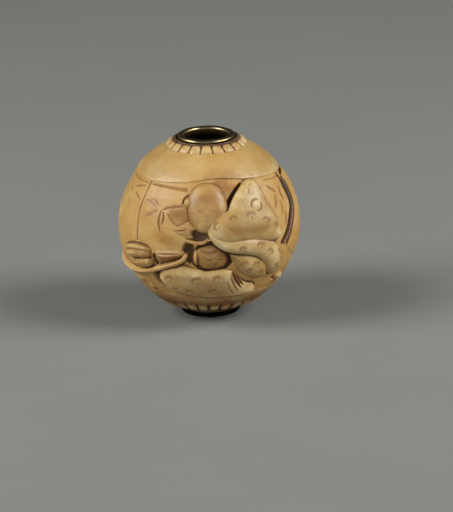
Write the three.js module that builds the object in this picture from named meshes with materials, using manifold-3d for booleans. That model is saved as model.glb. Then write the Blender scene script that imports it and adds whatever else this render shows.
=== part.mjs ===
// A carved ivory cord bead, about the size of a large cherry. It is a ball drilled through
// for a doubled cord, with a flanged metal eyelet pressed into each end of the hole.
// Round each eyelet runs a collar of petals. Between the smooth upper cap and the plain foot
// band, robed figures, their bundles and a folding screen are carved in high relief.
// Lengths are in millimetres and angles in degrees. +Z runs up the cord hole, the origin is
// on that axis in the lower rim's plane, and azimuth 0 faces -Y and grows towards +X.

import * as THREE from 'three';
import { mergeVertices } from 'three/addons/utils/BufferGeometryUtils.js';
import Module from 'manifold-3d';

const wasm = await Module();
wasm.setup();

// Driving sizes of the ball.
const CAP_RADIUS = 9;
const FIELD_SINK = 0.1;
const FOOT_BAND_SINK = 0.06;
const RELIEF_HEIGHT = 0.42;
const CARVING_DEPTH = 1.3;
const ROOT_DEPTH = 1.5;

// Driving sizes of the cord hole and the eyelets.
const CORD_HOLE_RADIUS = 2.2;
const EYELET_WALL = 0.2;
const EYELET_STEM_LENGTH = 2.6;
const STEM_CLEARANCE = 0.05;
const LIP_RADIUS = 2.9;
const LIP_HEIGHT = 0.5;
const LIP_PROUD = 0.1;
const LIP_LAND_WIDTH = 0.2;

// Driving sizes of the petal collars.
const SEAT_RADIUS = 2.75;
const COLLAR_GROOVE_DEPTH = 0.3;
const UPPER_PETALS = 20;
const UPPER_PETAL_INNER_RADIUS = 3.1;
const UPPER_PETAL_OUTER_RADIUS = 4.02;
const UPPER_PETAL_RISE = 0.07;
const LOWER_PETALS = 28;
const LOWER_PETAL_TURN_ANGLE = 4.4;
const LOWER_PETAL_INNER_RADIUS = 4.5;
const LOWER_PETAL_OUTER_RADIUS = 5.7;
const LOWER_PETAL_RISE = 0.06;
const LOWER_BED_SINK = 0.28;
const NOTCH_DEPTH = 0.2;

// How much of its rise a petal keeps at its outer end.
const outerRiseShare = 0.6;

// The heights round the ball, as latitudes seen from its centre.
const CAP_EDGE_ANGLE = 39.5;
const FIELD_FOOT_ANGLE = -39.5;
const STEP_ANGLE = 1.2;

// How finely the surfaces are divided.
const BALL_SIDES = 40;
const EYELET_SIDES = 40;
const FIELD_STEPS = 8;
const CAP_STEPS = 4;
const FOOT_STEPS = 2;
const LIP_STEPS = 3;
const OUTLINE_STEPS = 20;
const ROLL_STEPS_TO_A_PLACE = 2;
const ROLL_SIDES = 6;
const ROLL_END_POWER = 6;
const FILE_SIDES = 3;
const PEBBLE_FACET = 0.9;
const LEAST_SIDES = 8;
const MERGE_TOLERANCE = 1e-4;

const FIELD_RADIUS = CAP_RADIUS - FIELD_SINK;
const FOOT_BAND_RADIUS = CAP_RADIUS - FOOT_BAND_SINK;
const LOWER_BED_RADIUS = CAP_RADIUS - LOWER_BED_SINK;
const CENTRE_HEIGHT = CAP_RADIUS + LIP_PROUD;
const SEAT_HEIGHT = CENTRE_HEIGHT - LIP_HEIGHT;
const STEM_RADIUS = CORD_HOLE_RADIUS + EYELET_WALL;
const BORE_RADIUS = STEM_RADIUS + STEM_CLEARANCE;

const radians = THREE.MathUtils.degToRad;
const degrees = THREE.MathUtils.radToDeg;

// The two sides of the frieze. The rear group answers the front one, the other way round.
const FRONT = { centreAngle: 0, turn: 1, liftAngle: 0 };
const REAR = { centreAngle: 182, turn: -1, liftAngle: 1.5 };

// A point at an azimuth and a latitude, at a distance from the ball's centre.
function onBall(azimuth, latitude, radius) {
  const around = radians(azimuth);
  const up = radians(latitude);
  return new THREE.Vector3(
    radius * Math.cos(up) * Math.sin(around),
    -radius * Math.cos(up) * Math.cos(around),
    CENTRE_HEIGHT + radius * Math.sin(up),
  );
}

// The place on the ball of a point given for the front group.
function placed(side, [azimuth, latitude], radius) {
  return onBall(side.centreAngle + side.turn * azimuth, latitude + side.liftAngle, radius);
}

// A carver's bench frame on the ball: X runs round it, Y up it and Z out of it.
function benchFrame(side, place, radius, tilt = 0) {
  const origin = placed(side, place, radius);
  const out = origin.clone().setZ(origin.z - CENTRE_HEIGHT).normalize();
  const east = new THREE.Vector3(-out.y, out.x, 0).normalize();
  const north = out.clone().cross(east);
  return new THREE.Matrix4()
    .makeBasis(east, north, out)
    .setPosition(origin)
    .multiply(new THREE.Matrix4().makeRotationZ(radians(tilt * side.turn)));
}

// A solid for joining and cutting, from a closed geometry.
function solidOf(geometry) {
  for (const name of ['normal', 'uv']) geometry.deleteAttribute(name);
  const merged = mergeVertices(geometry, MERGE_TOLERANCE);
  const vertProperties = merged.attributes.position.array;
  const triVerts = Uint32Array.from(merged.index.array);
  return new wasm.Manifold(new wasm.Mesh({ numProp: 3, vertProperties, triVerts }));
}

// The geometry of a finished solid.
function geometryOf(solid) {
  const { vertProperties, triVerts } = solid.getMesh();
  const geometry = new THREE.BufferGeometry();
  geometry.setAttribute('position', new THREE.BufferAttribute(vertProperties, 3));
  geometry.setIndex(new THREE.BufferAttribute(triVerts, 1));
  geometry.computeVertexNormals();
  return geometry;
}

// The volume inside triangles, which is negative where they face inwards.
function signedVolume(points, triangles) {
  let volume = 0;
  for (const [a, b, c] of triangles) {
    volume += points[a].dot(points[b].clone().cross(points[c])) / 6;
  }
  return volume;
}

// A closed skin over rings of points, drawn together to a point at each end.
function skinned(rings, firstPole, lastPole) {
  const count = rings[0].length;
  const points = [...rings.flat(), firstPole, lastPole];
  const first = points.length - 2;
  const triangles = [];
  for (let i = 0; i < count; i += 1) {
    const next = (i + 1) % count;
    triangles.push([first, next, i]);
    for (let ring = 0; ring < rings.length - 1; ring += 1) {
      const low = ring * count;
      const high = low + count;
      triangles.push([low + i, low + next, high + next], [low + i, high + next, high + i]);
    }
    const last = (rings.length - 1) * count;
    triangles.push([first + 1, last + i, last + next]);
  }
  if (signedVolume(points, triangles) < 0) triangles.forEach((corners) => corners.reverse());
  const geometry = new THREE.BufferGeometry().setFromPoints(points);
  geometry.setIndex(triangles.flat());
  return solidOf(geometry);
}

// A ball of unit radius, divided as finely as its width on the bead calls for.
function ball(halfWidth) {
  const sides = Math.max(LEAST_SIDES, 2 * Math.round((Math.PI * halfWidth) / PEBBLE_FACET));
  return new THREE.SphereGeometry(1, sides, sides / 2);
}

// A rounded form, such as a head: an ellipsoid let into the ball, its crown standing proud.
// Its half sizes are shares of the ball's radius, its crown a share of the relief's height.
function pebble(side, { at, halfShares, crownShare, tilt = 0 }) {
  const [across, up, deep] = halfShares.map((share) => share * CAP_RADIUS);
  const centre = CAP_RADIUS + crownShare * RELIEF_HEIGHT - deep;
  const frame = benchFrame(side, at, centre, tilt);
  return solidOf(ball(across).applyMatrix4(frame.scale(new THREE.Vector3(across, up, deep))));
}

// A hollow: an ellipsoid centred on the cap's surface, as deep as a share of the carving.
function hollow(side, { at, halfShares, depthShare, tilt = 0 }) {
  const [across, up] = halfShares.map((share) => share * CAP_RADIUS);
  const frame = benchFrame(side, at, CAP_RADIUS, tilt);
  const size = new THREE.Vector3(across, up, depthShare * CARVING_DEPTH);
  return solidOf(ball(across).applyMatrix4(frame.scale(size)));
}

// Where a draped form's shoulder is rounded off, from its brim to its crown.
const shoulderShares = [0.9, 0.62];

// A draped form, such as a robe: an outline on the ball, rooted in it, with an upright
// brim and a crown that swells over it. Brim and crown are shares of the relief's height.
function drape(side, { outline, brimShare, crownShare, middle }) {
  const corners = outline.map(([azimuth, latitude]) => new THREE.Vector3(azimuth, latitude, 0));
  const edge = new THREE.CatmullRomCurve3(corners, true).getSpacedPoints(OUTLINE_STEPS);
  edge.pop();
  const heart = new THREE.Vector3(...middle, 0);
  const brim = CAP_RADIUS + brimShare * RELIEF_HEIGHT;
  const crown = CAP_RADIUS + crownShare * RELIEF_HEIGHT;
  const ringAt = (share, radius) => edge.map((point) => {
    const { x, y } = heart.clone().lerp(point, share);
    return placed(side, [x, y], radius);
  });
  const shoulder = (share) => brim + (crown - brim) * Math.sqrt(1 - share * share);
  const rings = [ringAt(1, CAP_RADIUS - ROOT_DEPTH), ringAt(1, brim)];
  for (const share of shoulderShares) rings.push(ringAt(share, shoulder(share)));
  const root = placed(side, middle, CAP_RADIUS - ROOT_DEPTH);
  return skinned(rings, root, placed(side, middle, crown));
}

// Numbers along a path, blended smoothly from those that its places hold.
function blended(path) {
  const blend = new THREE.CubicInterpolant(path.map((_, i) => i), path.flat(), path[0].length);
  const count = (path.length - 1) * ROLL_STEPS_TO_A_PLACE + 1;
  return Array.from({ length: count }, (_, i) => [...blend.evaluate(i / ROLL_STEPS_TO_A_PLACE)]);
}

// The corners of a roll's section, as distances aside and outwards: an ellipse, or the
// upper half of one over upright sides that run down to a root.
function rollSection(half, height, root) {
  return Array.from({ length: ROLL_SIDES }, (_, corner) => {
    const angle = (corner / ROLL_SIDES) * 2 * Math.PI;
    const aside = Math.cos(angle);
    const out = Math.sin(angle);
    const isRoot = root > 0 && out < 0;
    return isRoot ? [Math.sign(aside) * half, -root] : [aside * half, out * height];
  });
}

// A roll or a groove along a path on the ball. A place of the path holds its azimuth, its
// latitude, its half width as a share of the ball's radius and, on a roll, its crown as a
// share of the relief's height. middleAt gives how far out the middle runs there, and a
// roll that stands on the ball is rooted in it.
function roll(side, { pathShares, heightShare, middleAt, root = 0 }) {
  const places = blended(pathShares);
  const middles = places.map(([azimuth, latitude, widthShare, crownShare]) => {
    const rise = widthShare * CAP_RADIUS * heightShare;
    return placed(side, [azimuth, latitude], middleAt(rise, crownShare));
  });
  const last = places.length - 1;
  const rings = [];
  for (let i = 1; i < last; i += 1) {
    const lengthwise = (i / last) * 2 - 1;
    const half = places[i][2] * CAP_RADIUS * Math.sqrt(1 - lengthwise ** ROLL_END_POWER);
    const along = middles[i + 1].clone().sub(middles[i - 1]).normalize();
    const out = middles[i].clone().setZ(middles[i].z - CENTRE_HEIGHT).normalize();
    const aside = along.clone().cross(out).normalize();
    rings.push(rollSection(half, half * heightShare, root).map(([sideways, outwards]) => {
      return middles[i].clone().addScaledVector(aside, sideways).addScaledVector(out, outwards);
    }));
  }
  return skinned(rings, middles[0], middles[last]);
}

// The point of a section at a distance from the axis, on a sphere about the centre.
const onSphereAt = (radius, sphere) => [radius, Math.sqrt(sphere * sphere - radius * radius)];

// Points of a section along a sphere between two latitudes.
function arc(sphere, from, to, steps) {
  return Array.from({ length: steps + 1 }, (_, i) => {
    const latitude = radians(from + ((to - from) * i) / steps);
    return [sphere * Math.cos(latitude), sphere * Math.sin(latitude)];
  });
}

// A solid of revolution from a closed section of distances and heights, at a height.
function turned(section, sides, height) {
  const points = [...section, section[0]].map(([out, up]) => new THREE.Vector2(out, up));
  const geometry = new THREE.LatheGeometry(points, sides);
  return solidOf(geometry.rotateX(radians(90)).translate(0, 0, height));
}

// A collar's sizes. Its petals rise a little over the ball that they are cut from.
function collar(ground, rise, inner, outer) {
  return { inner, outer, innerCrest: ground + rise, outerCrest: ground + rise * outerRiseShare };
}

const upperCollar = collar(
  CAP_RADIUS, UPPER_PETAL_RISE, UPPER_PETAL_INNER_RADIUS, UPPER_PETAL_OUTER_RADIUS,
);
const lowerCollar = collar(
  FOOT_BAND_RADIUS, LOWER_PETAL_RISE, LOWER_PETAL_INNER_RADIUS, LOWER_PETAL_OUTER_RADIUS,
);

// The latitude at which a sphere is as wide as a radius.
const latitudeOf = (radius, sphere) => degrees(Math.acos(radius / sphere));

// The plain ball, turned in one piece with its eyelet seats, collars, field and cap.
function turnedBall() {
  const grooveHeight = SEAT_HEIGHT - COLLAR_GROOVE_DEPTH;
  const seat = [[BORE_RADIUS, SEAT_HEIGHT], [SEAT_RADIUS, SEAT_HEIGHT]];
  const groove = [[SEAT_RADIUS, grooveHeight], [UPPER_PETAL_INNER_RADIUS, grooveHeight]];
  const petals = ({ inner, outer, innerCrest, outerCrest }) => [
    onSphereAt(inner, innerCrest),
    onSphereAt(outer, outerCrest),
  ];
  const lowerEnd = [
    ...seat,
    onSphereAt(SEAT_RADIUS, LOWER_BED_RADIUS),
    onSphereAt(LOWER_PETAL_INNER_RADIUS, LOWER_BED_RADIUS),
    ...petals(lowerCollar),
  ].map(([out, up]) => [out, -up]);
  const footStart = -latitudeOf(LOWER_PETAL_OUTER_RADIUS, FOOT_BAND_RADIUS);
  const capEnd = latitudeOf(UPPER_PETAL_OUTER_RADIUS, CAP_RADIUS);
  return turned([
    ...lowerEnd,
    ...arc(FOOT_BAND_RADIUS, footStart, FIELD_FOOT_ANGLE - STEP_ANGLE, FOOT_STEPS),
    ...arc(FIELD_RADIUS, FIELD_FOOT_ANGLE, CAP_EDGE_ANGLE - STEP_ANGLE, FIELD_STEPS),
    ...arc(CAP_RADIUS, CAP_EDGE_ANGLE, capEnd, CAP_STEPS),
    ...[...seat, ...groove, ...petals(upperCollar)].reverse(),
  ], BALL_SIDES, CENTRE_HEIGHT);
}

// The cuts that part a collar's petals, as three-sided files laid across it.
function petalNotches(count, { inner, outer, innerCrest }, end, turnAngle = 0) {
  const innerLatitude = latitudeOf(inner, innerCrest);
  const outerLatitude = latitudeOf(outer, innerCrest);
  const latitude = ((innerLatitude + outerLatitude) / 2) * end;
  const length = radians(innerLatitude - outerLatitude) * innerCrest + NOTCH_DEPTH;
  return Array.from({ length: count }, (_, i) => {
    const azimuth = turnAngle + ((i + 0.5) * 360) / count;
    const file = new THREE.CylinderGeometry(NOTCH_DEPTH, NOTCH_DEPTH, length, FILE_SIDES);
    file.rotateY(Math.PI);
    return solidOf(file.applyMatrix4(benchFrame(FRONT, [azimuth, latitude], innerCrest)));
  });
}

// The hollows behind and between the figures.
const hollowShares = [
  { at: [17.4, 32], halfShares: [0.075, 0.175], depthShare: 1.04, tilt: -28 },
  { at: [-7, 6.5], halfShares: [0.144, 0.094], depthShare: 0.85 },
  { at: [-13, -4], halfShares: [0.094, 0.139], depthShare: 0.96, tilt: 8 },
  { at: [2, -7], halfShares: [0.256, 0.194], depthShare: 0.88 },
  { at: [-37.2, -11.2], halfShares: [0.033, 0.083], depthShare: 0.73, tilt: 12 },
  { at: [53, -28.5], halfShares: [0.094, 0.061], depthShare: 0.65 },
  { at: [-36, -25], halfShares: [0.061, 0.144], depthShare: 0.69, tilt: 20 },
  { at: [-20, -10], halfShares: [0.1, 0.056], depthShare: 0.73, tilt: 30 },
];

// The long cuts of the field.
const cutShares = {
  crevice: {
    pathShares: [
      [76.2, 36.3, 0.03], [72.8, 29.8, 0.033], [72.4, 22.3, 0.034], [71, 14.6, 0.042],
      [66.6, 8.9, 0.048], [60.5, 0.8, 0.045], [54.3, -4.9, 0.038],
    ],
    heightShare: 2.4,
  },
  panelEdge: {
    pathShares: [
      [-50.7, 37, 0.013], [-51.7, 31, 0.013], [-52, 22.9, 0.013], [-51.6, 11.4, 0.013],
      [-51, -1, 0.013],
    ],
    heightShare: 1,
  },
  sideNotch: { pathShares: [[-81, 19, 0.012], [-82, 14, 0.026], [-81, 9, 0.012]], heightShare: 2 },
};

// The rounded forms: heads, ears, tucked frills and a small fold.
const pebbleShares = {
  upperHead: { at: [-0.3, 25], halfShares: [0.213, 0.279, 0.117], crownShare: 1.1, tilt: 4 },
  upperEar: { at: [-15.2, 26.2], halfShares: [0.056, 0.08, 0.067], crownShare: 0.48, tilt: 12 },
  lowerHead: { at: [1.5, -8.5], halfShares: [0.206, 0.189, 0.144], crownShare: 0 },
  lowerEar: { at: [-8.7, -8.4], halfShares: [0.04, 0.106, 0.089], crownShare: -0.12, tilt: -2 },
  frillLeft: { at: [3.5, -17.6], halfShares: [0.056, 0.04, 0.078], crownShare: 0.71, tilt: 20 },
  frillMiddle: { at: [7.6, -17.4], halfShares: [0.047, 0.04, 0.078], crownShare: 0.86 },
  frillRight: { at: [11.2, -18.2], halfShares: [0.042, 0.047, 0.078], crownShare: 0.76, tilt: -20 },
  tuckedFold: { at: [62, -29], halfShares: [0.106, 0.067, 0.111], crownShare: 0.48, tilt: -20 },
};

// The draped forms. Outlines are azimuths and latitudes, run round the form.
const drapeShares = {
  robe: {
    middle: [27, 14],
    outline: [
      [32, 40.6], [40.4, 39.8], [43.4, 32], [44.2, 24], [47.8, 16], [51, 8], [51.4, 0], [40, -1],
      [30, 1], [21, 2], [12, 1], [4, 2.6], [0.4, 6.8], [-1, 11], [-0.6, 15], [1.6, 18.9],
      [5.2, 21.3], [9.4, 22.4], [13.4, 23], [15.6, 26.2], [19, 30.6], [24.2, 35.4],
    ],
    brimShare: -0.24,
    crownShare: 0.9,
  },
  skirt: {
    middle: [-3, -27],
    outline: [
      [-36.2, -21], [-33, -16.3], [-27.7, -13.2], [-22.6, -12], [-16.5, -12.2], [-7.7, -15.2],
      [-2.5, -16.6], [4, -16], [10.9, -16], [14.4, -17.4], [19.2, -22], [25, -28.6],
      [32, -31.4], [36, -35], [31, -38.4], [22, -39.2], [9.3, -39.4], [-1.2, -39],
      [-16.3, -37.6], [-27.4, -34.8], [-33, -30.6], [-36.8, -25],
    ],
    brimShare: -0.36,
    crownShare: 0.86,
  },
  innerSleeve: {
    middle: [29, -17],
    outline: [
      [13.4, -5], [14, -9.5], [16.3, -13.9], [20.5, -18.7], [25.2, -22.8], [30.3, -26],
      [36, -27.8], [41.5, -27], [44, -23], [42, -14], [34, -8], [24, -4.6],
    ],
    brimShare: -1.2,
    crownShare: 0.24,
  },
  cuff: {
    middle: [-16, 8.8],
    outline: [
      [-26.6, 10], [-23, 12], [-17, 13], [-12, 13], [-9.6, 11.4], [-10.6, 8.4], [-10, 5.4],
      [-14, 4.4], [-19.4, 5.8], [-23, 8],
    ],
    brimShare: -1.07,
    crownShare: -0.14,
  },
  wedge: {
    middle: [-28, -6],
    outline: [
      [-37.6, -3.8], [-33.4, -2.8], [-20, -1.6], [-18.2, -3.4], [-19.7, -6.2], [-28.5, -10],
      [-34, -12.8], [-37.2, -8.7],
    ],
    brimShare: -0.95,
    crownShare: 0.19,
  },
  sideScreen: {
    middle: [95, 6],
    outline: [
      [79.6, 37], [88, 38], [100, 38], [111, 37.5], [114, 22], [114, 4], [112, -14], [100, -21],
      [84, -21], [70, -17], [58.8, -7.4], [64.6, 0.8], [71, 8.9], [75, 14.6], [76, 22.3],
      [76.4, 29.8],
    ],
    brimShare: -0.12,
    crownShare: 0.24,
  },
};

// The rolls: the robe's turned hem, the sleeve's rim, the bundle and the cord that ties it.
const rollShares = {
  turnedHem: {
    pathShares: [
      [14.6, 19.8, 0.033, 0.6], [9.2, 19.2, 0.05, 0.75], [5, 17.6, 0.053, 0.8],
      [2.6, 14, 0.053, 0.75], [2.8, 9.4, 0.055, 0.75], [6.6, 3.8, 0.06, 0.85],
      [13, 0.4, 0.071, 0.95], [22, -1.2, 0.092, 1], [32, -2.4, 0.111, 1], [41, -6.4, 0.138, 1],
      [46.8, -12.4, 0.153, 0.95], [49.2, -18.4, 0.133, 0.85], [49.8, -23.4, 0.083, 0.4],
    ],
    heightShare: 0.7,
  },
  bundleTop: {
    pathShares: [
      [-69, -9, 0.018, -0.2], [-60.5, -6.2, 0.029, 0.8], [-51.5, -4.6, 0.034, 0.93],
      [-44.5, -4.6, 0.033, 0.88], [-39.6, -5.6, 0.024, -0.1],
    ],
    heightShare: 0.8,
  },
  bundleMiddle: {
    pathShares: [
      [-69.5, -12.6, 0.022, -0.2], [-60, -10.2, 0.04, 1.05], [-51.5, -8.4, 0.047, 1.2],
      [-44.4, -7.6, 0.047, 1.1], [-39.4, -7.6, 0.033, -0.1],
    ],
    heightShare: 0.8,
  },
  bundleLow: {
    pathShares: [
      [-57.5, -15.8, 0.029, -0.1], [-51.5, -14.8, 0.047, 1], [-45, -13.5, 0.051, 1.15],
      [-41.4, -12.9, 0.047, 1], [-38.6, -12.5, 0.031, -0.1],
    ],
    heightShare: 0.8,
  },
  sleeveRim: {
    pathShares: [
      [-20.6, 6, 0.011, -0.57], [-14, 3.9, 0.019, -0.33], [-7.1, 2.3, 0.021, -0.24],
      [-2, 3.4, 0.018, -0.33], [0.6, 6.4, 0.011, -0.7],
    ],
    heightShare: 1.1,
  },
  bundleTie: {
    pathShares: [
      [-15.8, -2.4, 0.018, -0.2], [-16.8, -5.6, 0.024, 0.7], [-22.2, -9, 0.026, 0.8],
      [-31, -13.2, 0.027, 0.86], [-40.2, -17, 0.026, 0.9], [-48, -19.2, 0.024, 0.95],
      [-56, -20, 0.023, 1], [-64.5, -18.8, 0.022, 1.05], [-72.6, -15.6, 0.021, 1.05],
      [-79, -11, 0.016, -0.2],
    ],
    heightShare: 1,
  },
};

// One group of the frieze: its robed figures, bundle and screen edge.
function figureGroup(side) {
  return [
    ...Object.values(pebbleShares).map((form) => pebble(side, form)),
    ...Object.values(drapeShares).map((form) => drape(side, form)),
    ...Object.values(rollShares).map((form) => roll(side, {
      ...form,
      middleAt: (rise, crownShare) => CAP_RADIUS + crownShare * RELIEF_HEIGHT - rise,
      root: ROOT_DEPTH,
    })),
  ];
}

// The cuts of one side of the frieze, made before the figures are joined on.
function groupCuts(side) {
  return [
    ...hollowShares.map((form) => hollow(side, form)),
    ...Object.values(cutShares).map((form) => {
      return roll(side, { ...form, middleAt: () => FIELD_RADIUS });
    }),
  ];
}

// The whole ivory, from the turned ball to the carved figures and the parted petals.
function carvedBall() {
  const sides = [FRONT, REAR];
  const notches = [
    ...petalNotches(UPPER_PETALS, upperCollar, 1),
    ...petalNotches(LOWER_PETALS, lowerCollar, -1, LOWER_PETAL_TURN_ANGLE),
  ];
  const cuts = [...sides.flatMap(groupCuts), ...notches].reduce((all, cut) => all.add(cut));
  const figures = sides.flatMap(figureGroup).reduce((all, form) => all.add(form));
  return geometryOf(turnedBall().subtract(cuts).add(figures));
}

// An eyelet, turned about its own seat: a rolled lip over a thin stem. Its top has a
// narrow flat land, worn by the cord.
function eyelet() {
  const landInner = (CORD_HOLE_RADIUS + LIP_RADIUS - LIP_LAND_WIDTH) / 2;
  const landOuter = landInner + LIP_LAND_WIDTH;
  const lipHalf = LIP_HEIGHT / 2;
  const bead = (centre, reach, from, to) => Array.from({ length: LIP_STEPS + 1 }, (_, i) => {
    const angle = radians(from + ((to - from) * i) / LIP_STEPS);
    return [centre + reach * Math.cos(angle), lipHalf + lipHalf * Math.sin(angle)];
  });
  return turned([
    [CORD_HOLE_RADIUS, -EYELET_STEM_LENGTH],
    [STEM_RADIUS, -EYELET_STEM_LENGTH],
    [STEM_RADIUS, 0],
    ...bead(landOuter, LIP_RADIUS - landOuter, -90, 90),
    ...bead(landInner, landInner - CORD_HOLE_RADIUS, 90, 180),
  ], EYELET_SIDES, 0);
}

const ivory = new THREE.MeshStandardMaterial({ color: 0xd8bf86, roughness: 0.38, metalness: 0 });
const gilt = new THREE.MeshStandardMaterial({ color: 0xb08d4a, roughness: 0.25, metalness: 1 });

// A named mesh of one of the bead's pieces.
function piece(name, geometry, material) {
  const mesh = new THREE.Mesh(geometry, material);
  mesh.name = name;
  return mesh;
}

const bead = new THREE.Group();
const upperEyelet = piece('upper_eyelet', geometryOf(eyelet()), gilt);
upperEyelet.position.z = CENTRE_HEIGHT + SEAT_HEIGHT;
const lowerEyelet = piece('lower_eyelet', geometryOf(eyelet()), gilt);
lowerEyelet.position.z = CENTRE_HEIGHT - SEAT_HEIGHT;
lowerEyelet.rotation.x = Math.PI;
bead.add(piece('ivory_bead', carvedBall(), ivory), upperEyelet, lowerEyelet);

export default bead;
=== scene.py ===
"""A carved ivory cord bead with an eyelet in each end of its hole, standing on a pale table.

The ball is built as a carver cuts it: turned first, then the screen and its hollows, then
the figures that stand before it, and last the engraving. Places on the ball are azimuths and
latitudes in degrees. Lengths are in metres, but the tables of strokes, forms, hollows, collars
and turned rows give theirs in millimetres.
"""

import logging
import math
from abc import ABC, abstractmethod
from dataclasses import dataclass, field
from enum import Enum

import bpy
import numpy as np
from mathutils import Matrix, Vector


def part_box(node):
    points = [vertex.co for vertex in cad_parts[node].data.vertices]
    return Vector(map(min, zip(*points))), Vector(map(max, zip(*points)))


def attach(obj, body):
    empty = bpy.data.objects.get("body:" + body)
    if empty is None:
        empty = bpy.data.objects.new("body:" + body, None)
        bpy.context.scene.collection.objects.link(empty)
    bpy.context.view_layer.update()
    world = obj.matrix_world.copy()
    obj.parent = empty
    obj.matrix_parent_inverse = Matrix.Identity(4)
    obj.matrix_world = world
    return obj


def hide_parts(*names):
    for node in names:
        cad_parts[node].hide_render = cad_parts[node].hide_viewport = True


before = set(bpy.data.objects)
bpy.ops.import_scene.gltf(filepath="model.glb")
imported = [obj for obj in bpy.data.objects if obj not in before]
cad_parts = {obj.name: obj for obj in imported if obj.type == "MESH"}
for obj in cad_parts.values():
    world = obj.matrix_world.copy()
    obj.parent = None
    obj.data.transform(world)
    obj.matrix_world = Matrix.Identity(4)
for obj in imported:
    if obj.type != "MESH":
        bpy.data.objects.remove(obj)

logging.basicConfig(level=logging.INFO, format="%(name)s: %(message)s")
LOG = logging.getLogger("carved bead")

MM = 0.001
MERGE = 1e-8
FINEST_HALF = 0.02 * MM
STROKE_POINTS = 28
STROKE_TAPER = 0.45
WALL_STEPS = (0.35, 0.7, 0.9)
FILL_ROUNDS = 12

Places = tuple[tuple[float, ...], ...]
Ramp = tuple[float, float, float]
Colour = tuple[int, int, int]


def smooth_path(places: Places, count: int, closed: bool = False) -> np.ndarray:
    """Runs a smooth line through places, evenly spaced along its length.

    Args:
        places: The places to pass through, each with two or more numbers.
        count: How many points the line gets.
        closed: Whether the line comes back to its first place.

    Returns:
        The points as rows. A closed line doesn't repeat its first point.
    """
    knots = np.array(places, float)
    if closed:
        knots = np.vstack((knots[-1], knots, knots[0], knots[1]))
    else:
        knots = np.vstack((2 * knots[0] - knots[1], knots, 2 * knots[-1] - knots[-2]))
    fine = []
    for before, start, end, after in zip(knots, knots[1:], knots[2:], knots[3:]):
        t = np.linspace(0, 1, 24, endpoint=False)[:, None]
        fine.append(0.5 * (2 * start + (end - before) * t
                           + (2 * before - 5 * start + 4 * end - after) * t ** 2
                           + (3 * start - before - 3 * end + after) * t ** 3))
    line = np.vstack((*fine, knots[-2]))
    run = np.r_[0, np.cumsum(np.linalg.norm(np.diff(line[:, :2], axis=0), axis=1))]
    want = np.linspace(0, run[-1], count, endpoint=not closed)
    return np.stack([np.interp(want, run, column) for column in line.T], axis=1)


def eased(values: np.ndarray, low: float, high: float) -> np.ndarray:
    """Ramps values smoothly from 0 at low to 1 at high."""
    t = np.clip((values - low) / (high - low), 0, 1)
    return t * t * (3 - 2 * t)


def ramped(values: np.ndarray, *ramps: Ramp) -> np.ndarray:
    """Adds up ramps, each with its start, its end and the strength that it reaches."""
    return sum(strength * eased(values, low, high) for low, high, strength in ramps)


def turned(east: np.ndarray, north: np.ndarray, tilt: float) -> tuple[np.ndarray, np.ndarray]:
    """Gives how far places lie across and up, seen from axes tilted by an angle in degrees."""
    turn = math.radians(tilt)
    return (east * math.cos(turn) + north * math.sin(turn),
            north * math.cos(turn) - east * math.sin(turn))


class Side(Enum):
    """The two groups of the frieze: middle azimuth, way round (1 or -1) and lift."""

    FRONT = (0.0, 1.0, 0.0)
    REAR = (182.0, -1.0, 1.5)

    def turn(self, azimuth: np.ndarray, latitude: np.ndarray) -> tuple[np.ndarray, np.ndarray]:
        """Carries azimuths and latitudes of the front group to this side."""
        centre, turn, lift = self.value
        return centre + turn * np.asarray(azimuth), np.asarray(latitude) + lift

    def label(self, name: str) -> str:
        """Names a piece of this side's group."""
        return f"{self.name.lower()}_{name}"


@dataclass(frozen=True)
class Ball:
    """The turned ball's sizes, with the ends of the hole taken from the eyelets.

    Cap, screen, foot, bed, root and core are distances from the centre. Carved forms end at
    the root, inside the ivory, and the core is the screen's buried inner face.
    """

    height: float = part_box("upper_eyelet")[1][2]
    lip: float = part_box("upper_eyelet")[1][0]
    stem_length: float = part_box("lower_eyelet")[1][2]
    stem_out: float = 2.4 * MM
    cap: float = 9.0 * MM
    screen: float = 8.9 * MM
    foot: float = 8.94 * MM
    bed: float = 8.72 * MM
    core: float = 7.3 * MM
    root: float = 7.5 * MM
    lip_height: float = 0.5 * MM
    hole: float = 2.2 * MM
    bore: float = 2.45 * MM
    seat: float = 2.75 * MM
    screen_foot: float = -38.5
    screen_top: float = 44.5

    @property
    def centre(self) -> float:
        """The height of the ball's centre over the table."""
        return self.height / 2

    @property
    def seat_height(self) -> float:
        """How far each lip's seat lies over or under the centre."""
        return self.centre - self.lip_height

    def place(self, azimuth: np.ndarray, latitude: np.ndarray, radius: np.ndarray) -> np.ndarray:
        """Turns azimuths, latitudes and distances from the centre into points."""
        around, up = np.radians(azimuth), np.radians(latitude)
        ring = radius * np.cos(up)
        rise = self.centre + radius * np.sin(up)
        parts = np.broadcast_arrays(ring * np.sin(around), -ring * np.cos(around), rise)
        return np.stack(parts, axis=-1)

    def read(self, points: np.ndarray) -> tuple[np.ndarray, np.ndarray, np.ndarray]:
        """Gives the azimuths, latitudes and distances from the centre of points."""
        x, y, z = points[:, 0], points[:, 1], points[:, 2] - self.centre
        radius = np.sqrt(x * x + y * y + z * z)
        return np.degrees(np.arctan2(x, -y)), np.degrees(np.arcsin(z / radius)), radius

    def cap_edge(self, azimuth: np.ndarray) -> np.ndarray:
        """Gives the latitude where the smooth cap ends, which wanders over the figures."""
        front = np.array(CAP_EDGE)
        sides = [np.stack(side.turn(front[:, 0], front[:, 1]), axis=1) for side in Side]
        knots = np.vstack(sides)
        knots[:, 0] %= 360
        knots = knots[np.argsort(knots[:, 0])]
        return np.interp(np.asarray(azimuth) % 360, knots[:, 0], knots[:, 1], period=360)


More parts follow.
